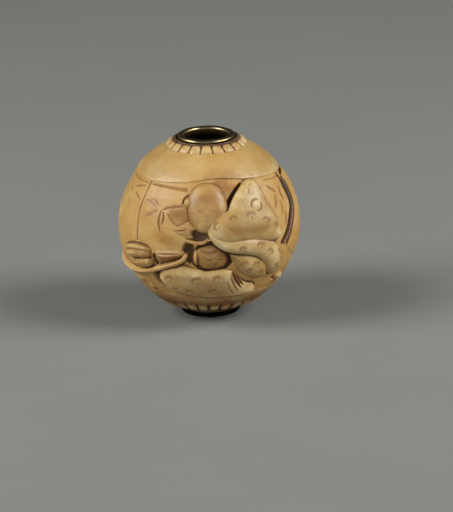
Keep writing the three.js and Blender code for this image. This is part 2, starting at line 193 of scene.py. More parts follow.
CAP_EDGE: Places = (
    (-85, 38.4), (-50, 38.9), (-31, 40.4), (-17, 41.2), (-8, 42.6), (-2, 43.6), (6, 44.2),
    (13, 44.2), (21, 43.2), (32, 41.6), (45, 40.2), (64, 38.4), (85, 37.6),
)


def new_piece(name: str, grid: np.ndarray, sharp: float = 42.0) -> bpy.types.Object:
    """Shapes a grid primitive into a closed skin.

    Args:
        name: The piece's name.
        grid: Points as rows and columns. Edges that meet are merged.
        sharp: Past this angle, in degrees, an edge stays crisp.

    Returns:
        The new piece, at the origin, with its place in its mesh.
    """
    rows, columns, _ = grid.shape
    bpy.ops.object.select_all(action="DESELECT")
    bpy.ops.mesh.primitive_grid_add(x_subdivisions=columns - 1, y_subdivisions=rows - 1)
    piece = bpy.context.object
    piece.name = piece.data.name = name
    flat = np.empty(rows * columns * 3)
    piece.data.vertices.foreach_get("co", flat)
    flat = np.round(flat.reshape(-1, 3), 6)
    shaped = np.empty_like(flat)
    shaped[np.lexsort((flat[:, 0], flat[:, 1]))] = grid.reshape(-1, 3)
    piece.data.vertices.foreach_set("co", shaped.ravel())
    piece.data.update()
    bpy.ops.object.mode_set(mode="EDIT")
    bpy.ops.mesh.select_all(action="SELECT")
    bpy.ops.mesh.remove_doubles(threshold=MERGE)
    bpy.ops.mesh.dissolve_degenerate(threshold=MERGE)
    bpy.ops.mesh.normals_make_consistent(inside=False)
    bpy.ops.object.mode_set(mode="OBJECT")
    bpy.ops.object.shade_smooth_by_angle(angle=math.radians(sharp))
    return piece


def points_of(piece: bpy.types.Object) -> np.ndarray:
    """Reads a piece's points as rows."""
    flat = np.empty(len(piece.data.vertices) * 3)
    piece.data.vertices.foreach_get("co", flat)
    return flat.reshape(-1, 3)


def set_points(piece: bpy.types.Object, points: np.ndarray) -> None:
    """Moves a piece's points to new places."""
    piece.data.vertices.foreach_set("co", points.ravel())
    piece.data.update()


def mark(piece: bpy.types.Object, name: str, values: np.ndarray) -> None:
    """Keeps a value at each point of a piece, for its finish to read."""
    layer = piece.data.attributes.get(name) or piece.data.attributes.new(name, "FLOAT", "POINT")
    layer.data.foreach_set("value", np.ascontiguousarray(values, dtype=np.float32))


@dataclass(frozen=True)
class Stroke:
    """A line that the graver cuts, given by places on the front side of the ball.

    A third number at a place scales the width there. A negative depth raises a ridge, and a
    blunt line keeps its width to its ends. The fourth field says how dark the line is: inking
    in the engraved lines, painted shade in the soft shades and along the crevices; fade says
    how fast that thins out towards its edges.
    """

    path: Places
    width: float
    depth: float
    ink_and_shade: float = 0.9
    blunt: bool = False
    fade: float = 0.9

    def cut(self, ball: Ball, side: Side, shell: np.ndarray) -> tuple[np.ndarray, ...]:
        """Measures this line against points on the cap's sphere.

        Args:
            ball: The ball that the line is cut in.
            side: The group that the line belongs to.
            shell: Points on the cap's sphere.

        Returns:
            Which points the line reaches, and how deep in its section each one is, 0 to 1.
        """
        line = smooth_path(self.path, STROKE_POINTS)
        scale = line[:, 2] if line.shape[1] > 2 else np.ones(len(line))
        places = ball.place(*side.turn(line[:, 0], line[:, 1]), ball.cap)
        middle = places.mean(axis=0)
        reach = np.linalg.norm(places - middle, axis=1).max() + self.width * MM * scale.max()
        near = np.flatnonzero(((shell - middle) ** 2).sum(axis=1) < reach ** 2)
        if not len(near):
            return near, np.empty(0)
        close, where = np.full(len(near), np.inf), np.zeros(len(near))
        for i, (start, end) in enumerate(zip(places, places[1:])):
            along = end - start
            t = np.clip((shell[near] - start) @ along / (along @ along), 0, 1)
            gap = np.linalg.norm(shell[near] - start - t[:, None] * along, axis=1)
            nearer = gap < close
            close[nearer], where[nearer] = gap[nearer], i + t[nearer]
        run = where / (len(places) - 1)
        taper = 1.0 if self.blunt else np.sin(np.pi * np.clip(run, 0, 1)) ** STROKE_TAPER
        half = self.width * MM / 2 * taper * np.interp(where, np.arange(len(scale)), scale)
        return near, np.clip(1 - (close / np.maximum(half, FINEST_HALF)) ** 2, 0, 1)


def carve(ball: Ball, piece: bpy.types.Object, cuts: list[tuple[Side, Stroke]],
          floor: float = 0.0) -> None:
    """Cuts strokes into a piece and keeps where the dark colour lies in them.

    Args:
        ball: The ball that the piece belongs to.
        piece: The piece to cut.
        cuts: Each stroke with its side of the ball.
        floor: Nothing nearer the ball's centre than this is cut.
    """
    azimuth, latitude, radius = ball.read(points_of(piece))
    shell = ball.place(azimuth, latitude, ball.cap)
    depth, ridge, ink_and_shade = (np.zeros(len(radius)) for _ in range(3))
    for side, stroke in cuts:
        near, section = stroke.cut(ball, side, shell)
        depth[near] = np.maximum(depth[near], stroke.depth * MM * section)
        ridge[near] = np.maximum(ridge[near], -stroke.depth * MM * section)
        ink_and_shade[near] = np.maximum(ink_and_shade[near], stroke.ink_and_shade * section ** stroke.fade)
    open_air = radius > floor
    set_points(piece, ball.place(azimuth, latitude, radius + (ridge - depth) * open_air))
    mark(piece, "ink_and_shade", ink_and_shade * open_air)


@dataclass(frozen=True)
class Swell:
    """A soft rise or dent in a carved form, for folds and pockets of cloth.

    Its half sizes run across and up, in degrees.
    """

    at: tuple[float, float]
    half: tuple[float, float]
    rise: float
    tilt: float = 0.0

    def lift(self, azimuth: np.ndarray, latitude: np.ndarray) -> np.ndarray:
        """Gives how far this swell lifts places of the front side."""
        east = (azimuth - self.at[0]) * math.cos(math.radians(self.at[1]))
        north = latitude - self.at[1]
        across, up = turned(east, north, self.tilt)
        away = (across / self.half[0]) ** 2 + (up / self.half[1]) ** 2
        return self.rise * MM * np.exp(-away)


@dataclass(frozen=True)
class CarvedForm(ABC):
    """A form of the frieze, cut from the ball: its name, engraving and swells."""

    name: str
    strokes: tuple[Stroke, ...] = field(default=(), kw_only=True)
    swells: tuple[Swell, ...] = field(default=(), kw_only=True)

    @abstractmethod
    def skin(self, ball: Ball, side: Side) -> np.ndarray:
        """Gives the form's closed skin as rows and columns of points."""

    def build(self, ball: Ball, side: Side) -> bpy.types.Object:
        """Makes the form on one side of the ball and engraves it."""
        piece = new_piece(side.label(self.name), self.skin(ball, side))
        carve(ball, piece, [(side, stroke) for stroke in self.strokes])
        return piece


@dataclass(frozen=True)
class Pebble(CarvedForm):
    """A rounded form, such as a head: an ellipsoid let into the ball.

    Half sizes run across, up and out. Crown is how far it stands over the cap. Its outline is
    an ellipse at a fullness of 2, and nearer a box above that.
    """

    at: tuple[float, float]
    half: tuple[float, float, float]
    crown: float
    tilt: float = 0.0
    fullness: float = 2.0
    pitch: float = 0.075

    def skin(self, ball: Ball, side: Side) -> np.ndarray:
        """Gives the ellipsoid's skin, from its root to its crown."""
        wide, tall, deep = (half * MM for half in self.half)
        around = int(np.clip(2 * math.pi * max(wide, tall) / (self.pitch * MM), 48, 190))
        rise = np.linspace(-90, 90, max(24, around // 2))[:, None]
        turn = np.linspace(0, 360, around + 1)[None, :]
        turn, rise = np.radians(np.broadcast_arrays(turn, rise))
        power = 2 / self.fullness
        ring = np.cos(rise) ** power
        across = wide * ring * np.sign(np.cos(turn)) * np.abs(np.cos(turn)) ** power
        up = tall * ring * np.sign(np.sin(turn)) * np.abs(np.sin(turn)) ** power
        out = deep * np.sin(rise)
        east_run, north_run = turned(across, up, -self.tilt)
        middle = ball.cap + self.crown * MM - deep
        azimuth, latitude = side.turn(*self.at)
        origin = ball.place(azimuth, latitude, middle)
        outward = (origin - [0, 0, ball.centre]) / middle
        east = np.array([-outward[1], outward[0], 0]) / math.hypot(*outward[:2]) * side.value[1]
        north = np.cross(outward, east) * side.value[1]
        return (origin + east_run[..., None] * east + north_run[..., None] * north
                + out[..., None] * outward)


@dataclass(frozen=True)
class Drape(CarvedForm):
    """A draped form, such as a robe: an outline with an upright brim and a rounded crown.

    Brim and crown are heights over the cap. Reach is how far in from the outline the crown
    is full, and swell is how much more the middle stands than the shoulders.
    """

    outline: Places
    middle: tuple[float, float]
    brim: float
    crown: float
    reach: float
    swell: float = 0.0
    pitch: float = 0.06

    def skin(self, ball: Ball, side: Side) -> np.ndarray:
        """Gives the drape's skin: its root, its upright wall and its crown."""
        brim, crown, reach, swelling, pitch = (
            size * MM for size in (self.brim, self.crown, self.reach, self.swell, self.pitch))
        middle = np.array(self.middle)
        scale = np.radians(ball.cap) * np.array([math.cos(math.radians(middle[1])), 1])
        rough = smooth_path(self.outline, 200, closed=True) * scale
        girth = np.linalg.norm(np.diff(rough, axis=0), axis=1).sum()
        around = int(np.clip(girth / pitch, 60, 420))
        edge = smooth_path(self.outline, around, closed=True)
        edge = np.vstack((edge, edge[:1]))
        widest = np.linalg.norm((edge - middle) * scale, axis=1).max()
        rings = int(np.clip(widest / pitch, 14, 90))
        shares = 1 - np.linspace(0, 1, rings) ** 1.6
        radii = [np.full(len(edge), ball.root)] * 2
        rows = [middle + (edge - middle) * share for share in (0, 1)]
        for step in WALL_STEPS:
            rows.append(edge)
            radii.append(np.full(len(edge), ball.root + (ball.cap + brim - ball.root) * step))
        rim = edge * scale
        for share in shares:
            row = middle + (edge - middle) * share
            spots = row * scale
            starts, runs = rim[:-1], np.diff(rim, axis=0)
            offset = spots[:, None] - starts[None]
            t = np.clip((offset * runs).sum(-1) / (runs ** 2).sum(-1), 0, 1)
            gap = np.sqrt(((offset - t[..., None] * runs) ** 2).sum(-1)).min(axis=1)
            inward = np.clip(gap / reach, 0, 1)
            shoulder = np.sqrt(1 - (1 - inward) ** 2)
            rise = brim + (crown - brim) * shoulder + swelling * (1 - share ** 2)
            for swell in self.swells:
                rise = rise + swell.lift(row[:, 0], row[:, 1]) * shoulder
            rows.append(row)
            radii.append(ball.cap + rise)
        places = np.stack(rows)
        return ball.place(*side.turn(places[..., 0], places[..., 1]), np.stack(radii))


@dataclass(frozen=True)
class Roll(CarvedForm):
    """A rounded roll along a path: azimuth, latitude, half width and crown at each place.

    Height share is how high its back is arched, as a share of its half width.
    """

    path: Places
    height_share: float
    pitch: float = 0.06

    def skin(self, ball: Ball, side: Side) -> np.ndarray:
        """Gives the roll's skin, drawn to a point at both ends."""
        rough = smooth_path(self.path, 60)
        scale = np.radians(ball.cap) * np.array([math.cos(math.radians(rough[:, 1].mean())), 1])
        length = np.linalg.norm(np.diff(rough[:, :2] * scale, axis=0), axis=1).sum()
        pitch = self.pitch * MM
        count = int(np.clip(length / pitch, 24, 320))
        line = smooth_path(self.path, count)
        azimuth, latitude = side.turn(line[:, 0], line[:, 1])
        half, crown = line[:, 2] * MM, ball.cap + line[:, 3] * MM
        spine = ball.place(azimuth, latitude, ball.cap)
        outward = (spine - [0, 0, ball.centre]) / ball.cap
        along = np.gradient(spine, axis=0)
        aside = np.cross(along, outward)
        aside /= np.linalg.norm(aside, axis=1)[:, None]
        run = np.linspace(0, length, count)
        end = np.clip(np.minimum(run, length - run) / half, 0, 1)
        taper = np.sqrt(1 - (1 - end) ** 2)
        rise = half * self.height_share
        base = crown - rise
        sides = int(np.clip(math.pi * half.max() / pitch, 12, 60))
        rows = []
        for angle in np.linspace(0, math.pi, sides):
            across = (half * taper * math.cos(angle))[:, None]
            up = (base + rise * taper * math.sin(angle))[:, None]
            rows.append(across * aside + up * outward)
        for share in (-1, -0.5, 0.5, 1):
            across = (half * taper * share)[:, None]
            up = (base - (base - ball.root) * taper)[:, None]
            rows.append(across * aside + up * outward)
        rows.append(rows[0])
        return np.stack(rows) + [0, 0, ball.centre]


def cloth_marks(*marks: tuple[float, ...]) -> tuple[Stroke, ...]:
    """Draws the small arched marks of the robes' cloth, each with a dot under it.

    Args:
        marks: Each mark's azimuth, latitude, size and turn, in degrees.

    Returns:
        The strokes of every mark.
    """
    strokes = []
    for azimuth, latitude, size, turn in marks:
        wide = size / math.cos(math.radians(latitude))
        arch = []
        for angle, reach in ((205, 0.95), (150, 1.0), (100, 0.8), (55, 1.0), (10, 0.8)):
            a = math.radians(angle + turn)
            arch.append((azimuth + wide * reach * math.cos(a), latitude + size * reach * math.sin(a)))
        dot = ((azimuth, latitude - 0.2 * size), (azimuth + 0.3 * wide, latitude - 0.45 * size))
        strokes += [Stroke(tuple(arch), 0.46, 0.01, 0.62), Stroke(dot, 0.5, 0.01, 0.5)]
    return tuple(strokes)


def arc_places(at: tuple[float, float], size: float, start: float, end: float) -> Places:
    """Gives places on a circle's arc: its middle, its radius and its ends, all in degrees."""
    wide = size / math.cos(math.radians(at[1]))
    angles = [math.radians(start + (end - start) * i / 8) for i in range(9)]
    return tuple((at[0] + wide * math.cos(a), at[1] + size * math.sin(a)) for a in angles)


def shade(places: Places, width: float, ink_and_shade: float) -> Stroke:
    """Paints a soft brown painted shade, without a cut, where the relief's shadow falls."""
    return Stroke(places, width, 0.0, ink_and_shade, fade=2.2)


LEAVES = (
    Stroke(((-80, 31.6), (-76, 29.8), (-71, 28)), 0.34, 0.06, 0.6),
    Stroke(((-70.4, 31), (-63, 33.4), (-55, 34.8)), 0.34, 0.06, 0.6),
    Stroke(((-66, 28.8), (-60.4, 27), (-55.6, 24.6)), 0.34, 0.06, 0.6),
    Stroke(((-73, 23.4), (-70.8, 20.6), (-69.4, 17)), 0.3, 0.05, 0.5),
    Stroke(((-50, 26.8), (-43.8, 25.7), (-38.2, 23)), 0.36, 0.03, 0.6),
    Stroke(((-45.6, 27.9), (-40.3, 27), (-36.4, 24)), 0.36, 0.03, 0.66),
    Stroke(((-46.4, 16.6), (-41.5, 18.7), (-36.4, 21.8)), 0.56, 0.02, 0.56),
    Stroke(((-33.6, 22), (-34.6, 15), (-32.7, 7.6)), 0.34, 0.06, 0.86),
    Stroke(((-32, 21), (-31.2, 16.8), (-32, 12.4)), 0.32, 0.06, 0.9),
    Stroke(((-33, 21.8), (-27.1, 24.2), (-17.2, 25.8)), 0.44, 0.05, 0.72),
    Stroke(((-29, 20.4), (-25.1, 16.2), (-20.4, 12.8)), 0.36, 0.05, 0.7),
    Stroke(((-21.4, 12.6), (-16.9, 15), (-12.8, 17.6)), 0.34, 0.05, 0.66),
    # The soft shades are painted shade on the ground beside the hollows, the folds and the rocks.
    shade(((-27.6, 21), (-21, 20), (-13.4, 19)), 2.4, 0.45),
    shade(((4, 40), (12, 38), (18, 35), (24, 38)), 3.6, 0.68),
    shade(((-42, -21), (-40, -27), (-36, -34)), 1.5, 0.68),
    shade(((-68, -26), (-58, -31), (-47, -37)), 1.2, 0.66),
    shade(((-34, 3), (-24, 2), (-14, 1)), 2.2, 0.3),
    Stroke(((50.4, 34), (54.4, 30.8), (58.6, 27.4)), 0.5, 0.02, 0.74),
    Stroke(((56.2, 26.4), (54.6, 22), (52.2, 18)), 0.5, 0.02, 0.7),
    Stroke(((69.6, 33), (70, 26), (68.7, 19.4)), 0.5, 0.02, 0.7),
    Stroke(((66, 31), (63.4, 26), (64.4, 20)), 0.5, 0.02, 0.74),
    Stroke(((60.2, 21.4), (59.4, 17), (57.4, 12)), 0.46, 0.02, 0.66),
    Stroke(((62.8, 14.6), (61, 9), (58.4, 4.6)), 0.46, 0.02, 0.66),
)

HEADS = (
    Pebble("upper_head", (-0.4, 25.2), (1.98, 2.5, 1.05), 0.46, 4, 2.25,
           strokes=(Stroke(((-6.8, 23), (-5, 22.5), (-3.2, 22.9)), 0.22, 0.02, 0.4),
                    Stroke(((2, 23), (3.8, 22.5), (5.6, 23)), 0.22, 0.02, 0.3),
                    Stroke(((-0.5, 23.3), (-0.6, 20.8), (-0.8, 19.2)), 0.6, -0.03, 0),
                    Stroke(((-2.6, 16.4), (-1, 16), (0.6, 16.5)), 0.24, 0.02, 0.34),
                    # The two soft shades are painted shade over the brow and down the head's right side,
                    # next to the hollow.
                    shade(((-7, 30.4), (3, 31.4), (10, 30.6), (16, 28)), 2.2, 0.42),
                    shade(((9, 35), (13.4, 31), (15, 25)), 1.7, 0.66))),
    Pebble("upper_ear", (-13.9, 28.4), (0.52, 0.66, 0.6), 0.24, 12,
           strokes=(Stroke(((-17.2, 29), (-15.4, 30.8), (-12.4, 31.4)), 0.3, 0.08, 0.7),)),
    Pebble("lower_head", (1.5, -8.5), (1.85, 1.7, 1.3), 0.0, 0, 2.2,
           strokes=(Stroke(((-1.8, -8.2), (-0.2, -8.8), (1.4, -8.4)), 0.24, 0.06, 0.8),
                    Stroke(((5.2, -8.2), (6.8, -8.8), (8.4, -8.2)), 0.24, 0.06, 0.8),
                    Stroke(((3, -8), (3.2, -9.6), (3, -10.8)), 0.5, -0.05, 0),
                    Stroke(((2, -11.5), (3.2, -11.8), (4.4, -11.5)), 0.26, 0.03, 0.4),
                    Stroke(((1.4, -13.4), (3, -13.8), (4.6, -13.4)), 0.2, 0.05, 0.6),
                    Stroke(((-6, -2.8), (0, -4.4), (6, -3)), 0.5, 0.06, 0.5))),
    Pebble("lower_ear", (-8.7, -8.4), (0.36, 0.95, 0.8), -0.05, -2,
           strokes=(Stroke(((-7.2, -5), (-7.6, -8.8), (-7, -13)), 0.2, 0.16),)),
)

CLOTH = (
    Drape("robe", (
        (32, 40.6), (40.4, 39.8), (43.4, 32), (44.2, 24), (47.8, 16), (51, 8), (51.4, 0), (40, -1),
        (30, 1), (21, 2), (12, 1), (4, 2.6), (0.4, 6.8), (-1, 11), (-0.6, 15), (1.6, 18.9),
        (5.2, 21.3), (9.4, 22.4), (13.4, 23), (15.6, 26.2), (19, 30.6), (24.2, 35.4)),
        (27, 14), -0.1, 0.36, 1.1, 0.12,
        strokes=(
            *cloth_marks((6, 13.4, 2.5, 60), (16, 16.6, 2.3, 0), (27.8, 17, 2.6, -15),
                         (38, 12.2, 2.5, -45), (45.6, 7.6, 2.3, -45)),
            Stroke(arc_places((33.2, 23.1), 3.6, 200, 50), 0.24, 0.06, 0.8),
            Stroke(arc_places((33.2, 23.1), 3.6, 25, -95), 0.28, 0.06, 0.8),
            Stroke(((42.4, 35.6), (42, 33.8), (40.4, 32)), 0.26, 0.16, 0.8),
            # The pocket's soft shade is painted shade under the fold of the hem.
            shade(((12, 11.8, 0.4), (20, 8.8, 0.9), (29, 7.6, 1.1), (40, 9, 0.5)), 2.6, 0.46),
            Stroke(((33.6, 37.6), (33.4, 34), (30, 30)), 0.9, 0.05, 0.1)),
        swells=(
            Swell((27, 32.6), (2.2, 4.6), 0.2, -45), Swell((33.2, 23.1), (2.6, 2.6), 0.06),
            Swell((6, 12), (6, 6), 0.12), Swell((42, 12), (4, 6), 0.08),
            Swell((27, 7.6), (8, 3), -0.16))),
    Roll("turned_hem", (
        (14.6, 19.8, 0.3, 0.25), (9.2, 19.2, 0.45, 0.32), (5, 17.6, 0.48, 0.34), (2.6, 14, 0.48, 0.32),
        (2.8, 9.4, 0.5, 0.32), (6.6, 3.8, 0.54, 0.36), (13, 0.2, 0.64, 0.4), (21, -0.9, 0.82, 0.42),
        (28.4, -1.9, 0.97, 0.43), (36, -4.4, 1.14, 0.43), (42.6, -9.6, 1.34, 0.42),
        (47.2, -15.8, 1.38, 0.4), (50.2, -21.4, 1.16, 0.34), (52.2, -26.2, 0.72, 0.12)), 0.7,
        strokes=cloth_marks(
            (33.1, -2, 2.4, -20), (39.8, -7.3, 2.3, -50), (48.4, -9.8, 2.1, -60),
            (51.6, -15.8, 2.1, -70), (20.9, -2.6, 2.0, 0), (46, -18.5, 2.1, -70))),
    Drape("inner_sleeve", (
        (13.4, -5), (13.9, -9), (15.2, -13.8), (18.6, -18.6), (23, -22.4), (28.6, -25.6),
        (34.8, -27.8), (41, -28), (44.6, -24.6), (43, -14), (34, -8), (24, -4.6)),
        (29, -17), -0.5, 0.1, 1.3, 0.1,
        strokes=cloth_marks(
            (23, -13.4, 2.2, 0), (31.5, -15, 2.2, -20), (27, -18.6, 2.0, 10),
            (36, -21.5, 2.0, -30))),
    Drape("skirt", (
        (-36.2, -21.6), (-33.4, -17.4), (-28.2, -14.6), (-22.6, -13.2), (-16.5, -12.8), (-7.7, -15.2),
        (-2.5, -16.6), (4, -16), (10.9, -16), (15.4, -17.6), (20.4, -22.4), (26, -27.6), (33, -30.6),
        (36, -35), (31, -38.4), (22, -39.2), (9.3, -39.4), (-1.2, -39), (-16.3, -37.6),
        (-27.4, -34.8), (-33, -30.6), (-36.8, -25)),
        (-3, -27), -0.15, 0.36, 1.25, 0.1,
        strokes=(
            *cloth_marks((-27.4, -22.6, 2.8, 0), (-8.5, -22.4, 2.8, 0), (4.9, -21.4, 2.3, 10),
                         (-14.2, -31.6, 2.3, 0), (2.1, -31, 2.3, 0), (-24, -30, 1.6, 0)),
            Stroke(((14.6, -17.8), (17.4, -22.4), (21, -27)), 1.2, 0.03, 0.8),
            Stroke(((15.2, -18), (17.8, -24), (22, -30)), 0.28, 0.2, 1.0),
            Stroke(((17, -18.6), (19.6, -23.6), (23.6, -28.6)), 0.28, 0.2, 1.0),
            Stroke(((18.6, -20), (21, -23.4), (24.8, -27)), 0.26, 0.18, 1.0),
            Stroke(((13.4, -20.6), (16, -26.4), (20.4, -32.6)), 0.18, 0.1, 0.7),
            Stroke(((11.4, -23), (13.4, -29), (17, -34)), 0.16, 0.07, 0.4)),
        swells=(Swell((-20, -17), (10, 2.5), 0.08, -6), Swell((8, -35.6), (14, 2), 0.08),
                Swell((29, -34), (5, 3), 0.06, -20))),
    Pebble("tucked_fold", (61.4, -31), (0.9, 0.72, 1.0), 0.2, -20),
)

TAN_FORMS = (
    Drape("cuff", (
        (-26.6, 10), (-23, 12), (-17, 13), (-12, 13), (-9.6, 11.4), (-10.6, 8.4), (-10, 5.4),
        (-14, 4.4), (-19.4, 5.8), (-23, 8)),
        (-16, 8.8), -0.45, -0.06, 0.55,
        strokes=(Stroke(((-25, 10), (-21, 9.8), (-15, 10.6)), 0.22, 0.1, 0.5),
                 Stroke(((-24.8, 11), (-20, 11.2), (-14.6, 12.2)), 0.3, -0.08, 0),
                 Stroke(((-21, 7.4), (-16, 7), (-12, 7.4)), 0.16, 0.05, 0.4))),
    Drape("wedge", (
        (-37.4, -4), (-33, -3), (-27, -2.4), (-19, -1.8), (-16.4, -3.4), (-16.2, -6.4),
        (-22, -9.6), (-30, -12.2), (-35.6, -12.4), (-37.6, -8.4)),
        (-27, -6.4), -0.4, 0.14, 1.0,
        # The soft shade is painted shade along the wedge's fold.
        strokes=(shade(((-37, -8), (-29, -8.4), (-20, -6.6)), 1.0, 0.6),
                 Stroke(((-36, -6.6), (-29, -6), (-19, -4.8)), 0.3, 0.06, 0.5))),
    Pebble("low_rock", (-62, -28.6), (1.15, 0.5, 0.9), 0.12, -24),
    Pebble("side_rock", (-50, -34), (1.0, 0.42, 0.9), 0.08, -34),
    Roll("bundle_top", (
        (-69, -9, 0.16, -0.08), (-60.5, -6.2, 0.26, 0.34), (-51.5, -4.6, 0.31, 0.39),
        (-44.5, -4.6, 0.3, 0.37), (-39.6, -5.6, 0.22, -0.04)), 0.8,
        strokes=(Stroke(((-62, -7.2), (-52, -5.4), (-43, -5.4)), 0.18, 0.05, 0.4),)),
    Roll("bundle_middle", (
        (-69.5, -12.6, 0.2, -0.08), (-60, -10.2, 0.36, 0.44), (-51.5, -8.4, 0.42, 0.5),
        (-44.4, -7.6, 0.42, 0.46), (-39.4, -7.6, 0.3, -0.04)), 0.8,
        strokes=(Stroke(((-62, -11.8), (-52, -9.6), (-42, -8.8)), 0.18, 0.06, 0.5),)),
    Roll("bundle_low", (
        (-57.5, -15.8, 0.26, -0.04), (-51.5, -14.8, 0.42, 0.42), (-45, -13.5, 0.46, 0.48),
        (-41.4, -12.9, 0.42, 0.42), (-38.6, -12.5, 0.28, -0.04)), 0.8,
        strokes=(Stroke(((-55, -16), (-48, -14.8), (-41, -13.8)), 0.18, 0.06, 0.5),)),
    Roll("sleeve_rim", (
        (-20.6, 6, 0.1, -0.24), (-14, 3.9, 0.17, -0.14), (-7.1, 2.3, 0.19, -0.1),
        (-2, 3.4, 0.16, -0.14), (0.6, 6.4, 0.1, -0.3)), 1.1, 0.05),
    Roll("bundle_tie", (
        (-15, -4.6, 0.16, -0.08), (-16.4, -8, 0.22, 0.24), (-21, -11, 0.23, 0.32),
        (-28.4, -13.6, 0.24, 0.35), (-37, -16.8, 0.24, 0.37), (-46, -19.6, 0.22, 0.38),
        (-55, -21.4, 0.21, 0.4), (-64, -21.6, 0.2, 0.42), (-72.6, -19, 0.19, 0.42),
        (-80, -13.6, 0.14, -0.08)), 1.0),
)

SIDE_SCREEN = Drape("side_screen", (
    (79, 33.6), (87, 34.6), (95, 34.8), (103, 34.6), (105.6, 31.3), (106, 23.8), (107, 16.1),
    (111, 10.4), (117.4, 2.3), (123.2, -5.9), (112, -15.5), (98, -20.5), (84, -21), (70, -17),
    (58.8, -7.4), (64.6, 0.8), (71, 8.9), (75, 14.6), (76, 22.3), (76.4, 29.8)),
    (91, 6), -0.12, 0.04, 1.5,
    # The two flat strokes, fully dark, are painted shade in the crevices along its edges.
    strokes=(Stroke(((77.6, 38), (76.6, 29.8), (76.2, 22.3), (75, 14.6), (70.8, 8.4), (64.4, 0.4),
                     (58.8, -6.6)), 0.75, 0.0, 1.0, blunt=True),
             Stroke(((104.4, 39.5), (105.4, 31.3), (105.8, 23.8), (107, 16.1), (111.2, 9.9),
                     (117.6, 1.9), (123.2, -5.1)), 0.75, 0.0, 1.0, blunt=True)))


@dataclass(frozen=True)
class Hollow:
    """A hollow of the screen: an ellipsoid cut in from the cap's sphere."""

    at: tuple[float, float]
    half: tuple[float, float]
    depth: float
    tilt: float = 0.0

    def floor(self, ball: Ball, side: Side, azimuth: np.ndarray, latitude: np.ndarray) -> np.ndarray:
        """Gives how far from the centre this hollow leaves the ivory."""
        middle, height = side.turn(*self.at)
        swing = (np.asarray(azimuth) - middle + 180) % 360 - 180
        scale = math.radians(ball.cap)
        east = swing * side.value[1] * math.cos(math.radians(self.at[1])) * scale
        north = (latitude - height) * scale
        across, up = turned(east, north, self.tilt)
        away = (across / (self.half[0] * MM)) ** 2 + (up / (self.half[1] * MM)) ** 2
        return ball.cap - self.depth * MM * np.sqrt(np.clip(1 - away, 0, 1))


HOLLOWS = (
    Hollow((19.4, 30.8), (0.46, 1.9), 1.05, -41),
    Hollow((-7, 6.5), (1.3, 0.85), 0.5),
    Hollow((-12.6, -4), (0.85, 1.25), 0.7, 8),
    Hollow((2, -7), (2.3, 1.75), 1.15),
    Hollow((-37.2, -11.2), (0.3, 0.75), 0.95, 12),
    Hollow((56.6, -30.4), (0.7, 0.45), 0.7),
    Hollow((-37.4, -25), (0.75, 1.4), 0.9, 20),
    Hollow((-20, -10), (0.9, 0.5), 0.95, 30),
)

GROUND_SWELLS = (
    Swell((-19, 18), (8, 7), -0.22), Swell((-30, -26), (9, 12), -0.2), Swell((40, -31), (14, 8), -0.1),
    Swell((14, 40), (10, 5), -0.12), Swell((-30, 2), (9, 4), -0.1), Swell((58, 22), (9, 14), -0.06),
    Swell((-86, 27), (13, 9), -0.13), Swell((88, 35), (12, 5), -0.12),
)

# Painted shade on the cap's lower edge, above the upper head and the hollow beside it.
CAP_SHADES = (shade(((-4, 44), (14, 44.6), (30, 43)), 3.2, 0.34),)

DEEP_CUTS = (
    # The first stroke, the crevice's cut, and the third, a flat stroke beside it, are fully dark:
    # painted shade in the crevice.
    Stroke(((78, 40, 0.5), (76.2, 36.3, 0.54), (73.2, 29.8, 0.6), (72.8, 22.3, 0.62),
            (71.4, 14.6, 0.76), (67, 8.9, 0.87), (60.9, 0.8, 0.82), (54.7, -4.9, 0.7)),
           0.95, 0.9, 1.0, blunt=True, fade=0.5),
    Stroke(((-18.4, 27), (-16.8, 31), (-12.4, 34)), 0.34, 0.2, 0.8),
    Stroke(((74.4, 36), (74.6, 29.8), (74.2, 22.3), (72.8, 14.6), (68.4, 8.9), (62.2, 0.8), (56, -4.9)),
           1.1, 0.0, 1.0, blunt=True),
    Stroke(((-80.6, 20), (-82, 14), (-80.6, 8)), 0.62, 0.5, 1.0),
    Stroke(((-51.6, 39), (-52.2, 30), (-52.8, 20), (-52.4, 11), (-52, 0)), 0.26, 0.12,
           0.5, blunt=True),
    Stroke(((-48.4, 37.4, 0.6), (-37, 37.4, 0.8), (-27, 37, 1), (-16.6, 36.4, 1.2)),
           0.42, 0.1, 0.62, blunt=True),
    Stroke(((-88, 37), (-75, 37), (-62, 37), (-53, 37.4)), 0.14, 0.1, 0.5, blunt=True),
    Stroke(((52, 37.6), (60, 36.6), (68, 36), (76, 35.6)), 0.14, 0.1, 0.5, blunt=True),
)


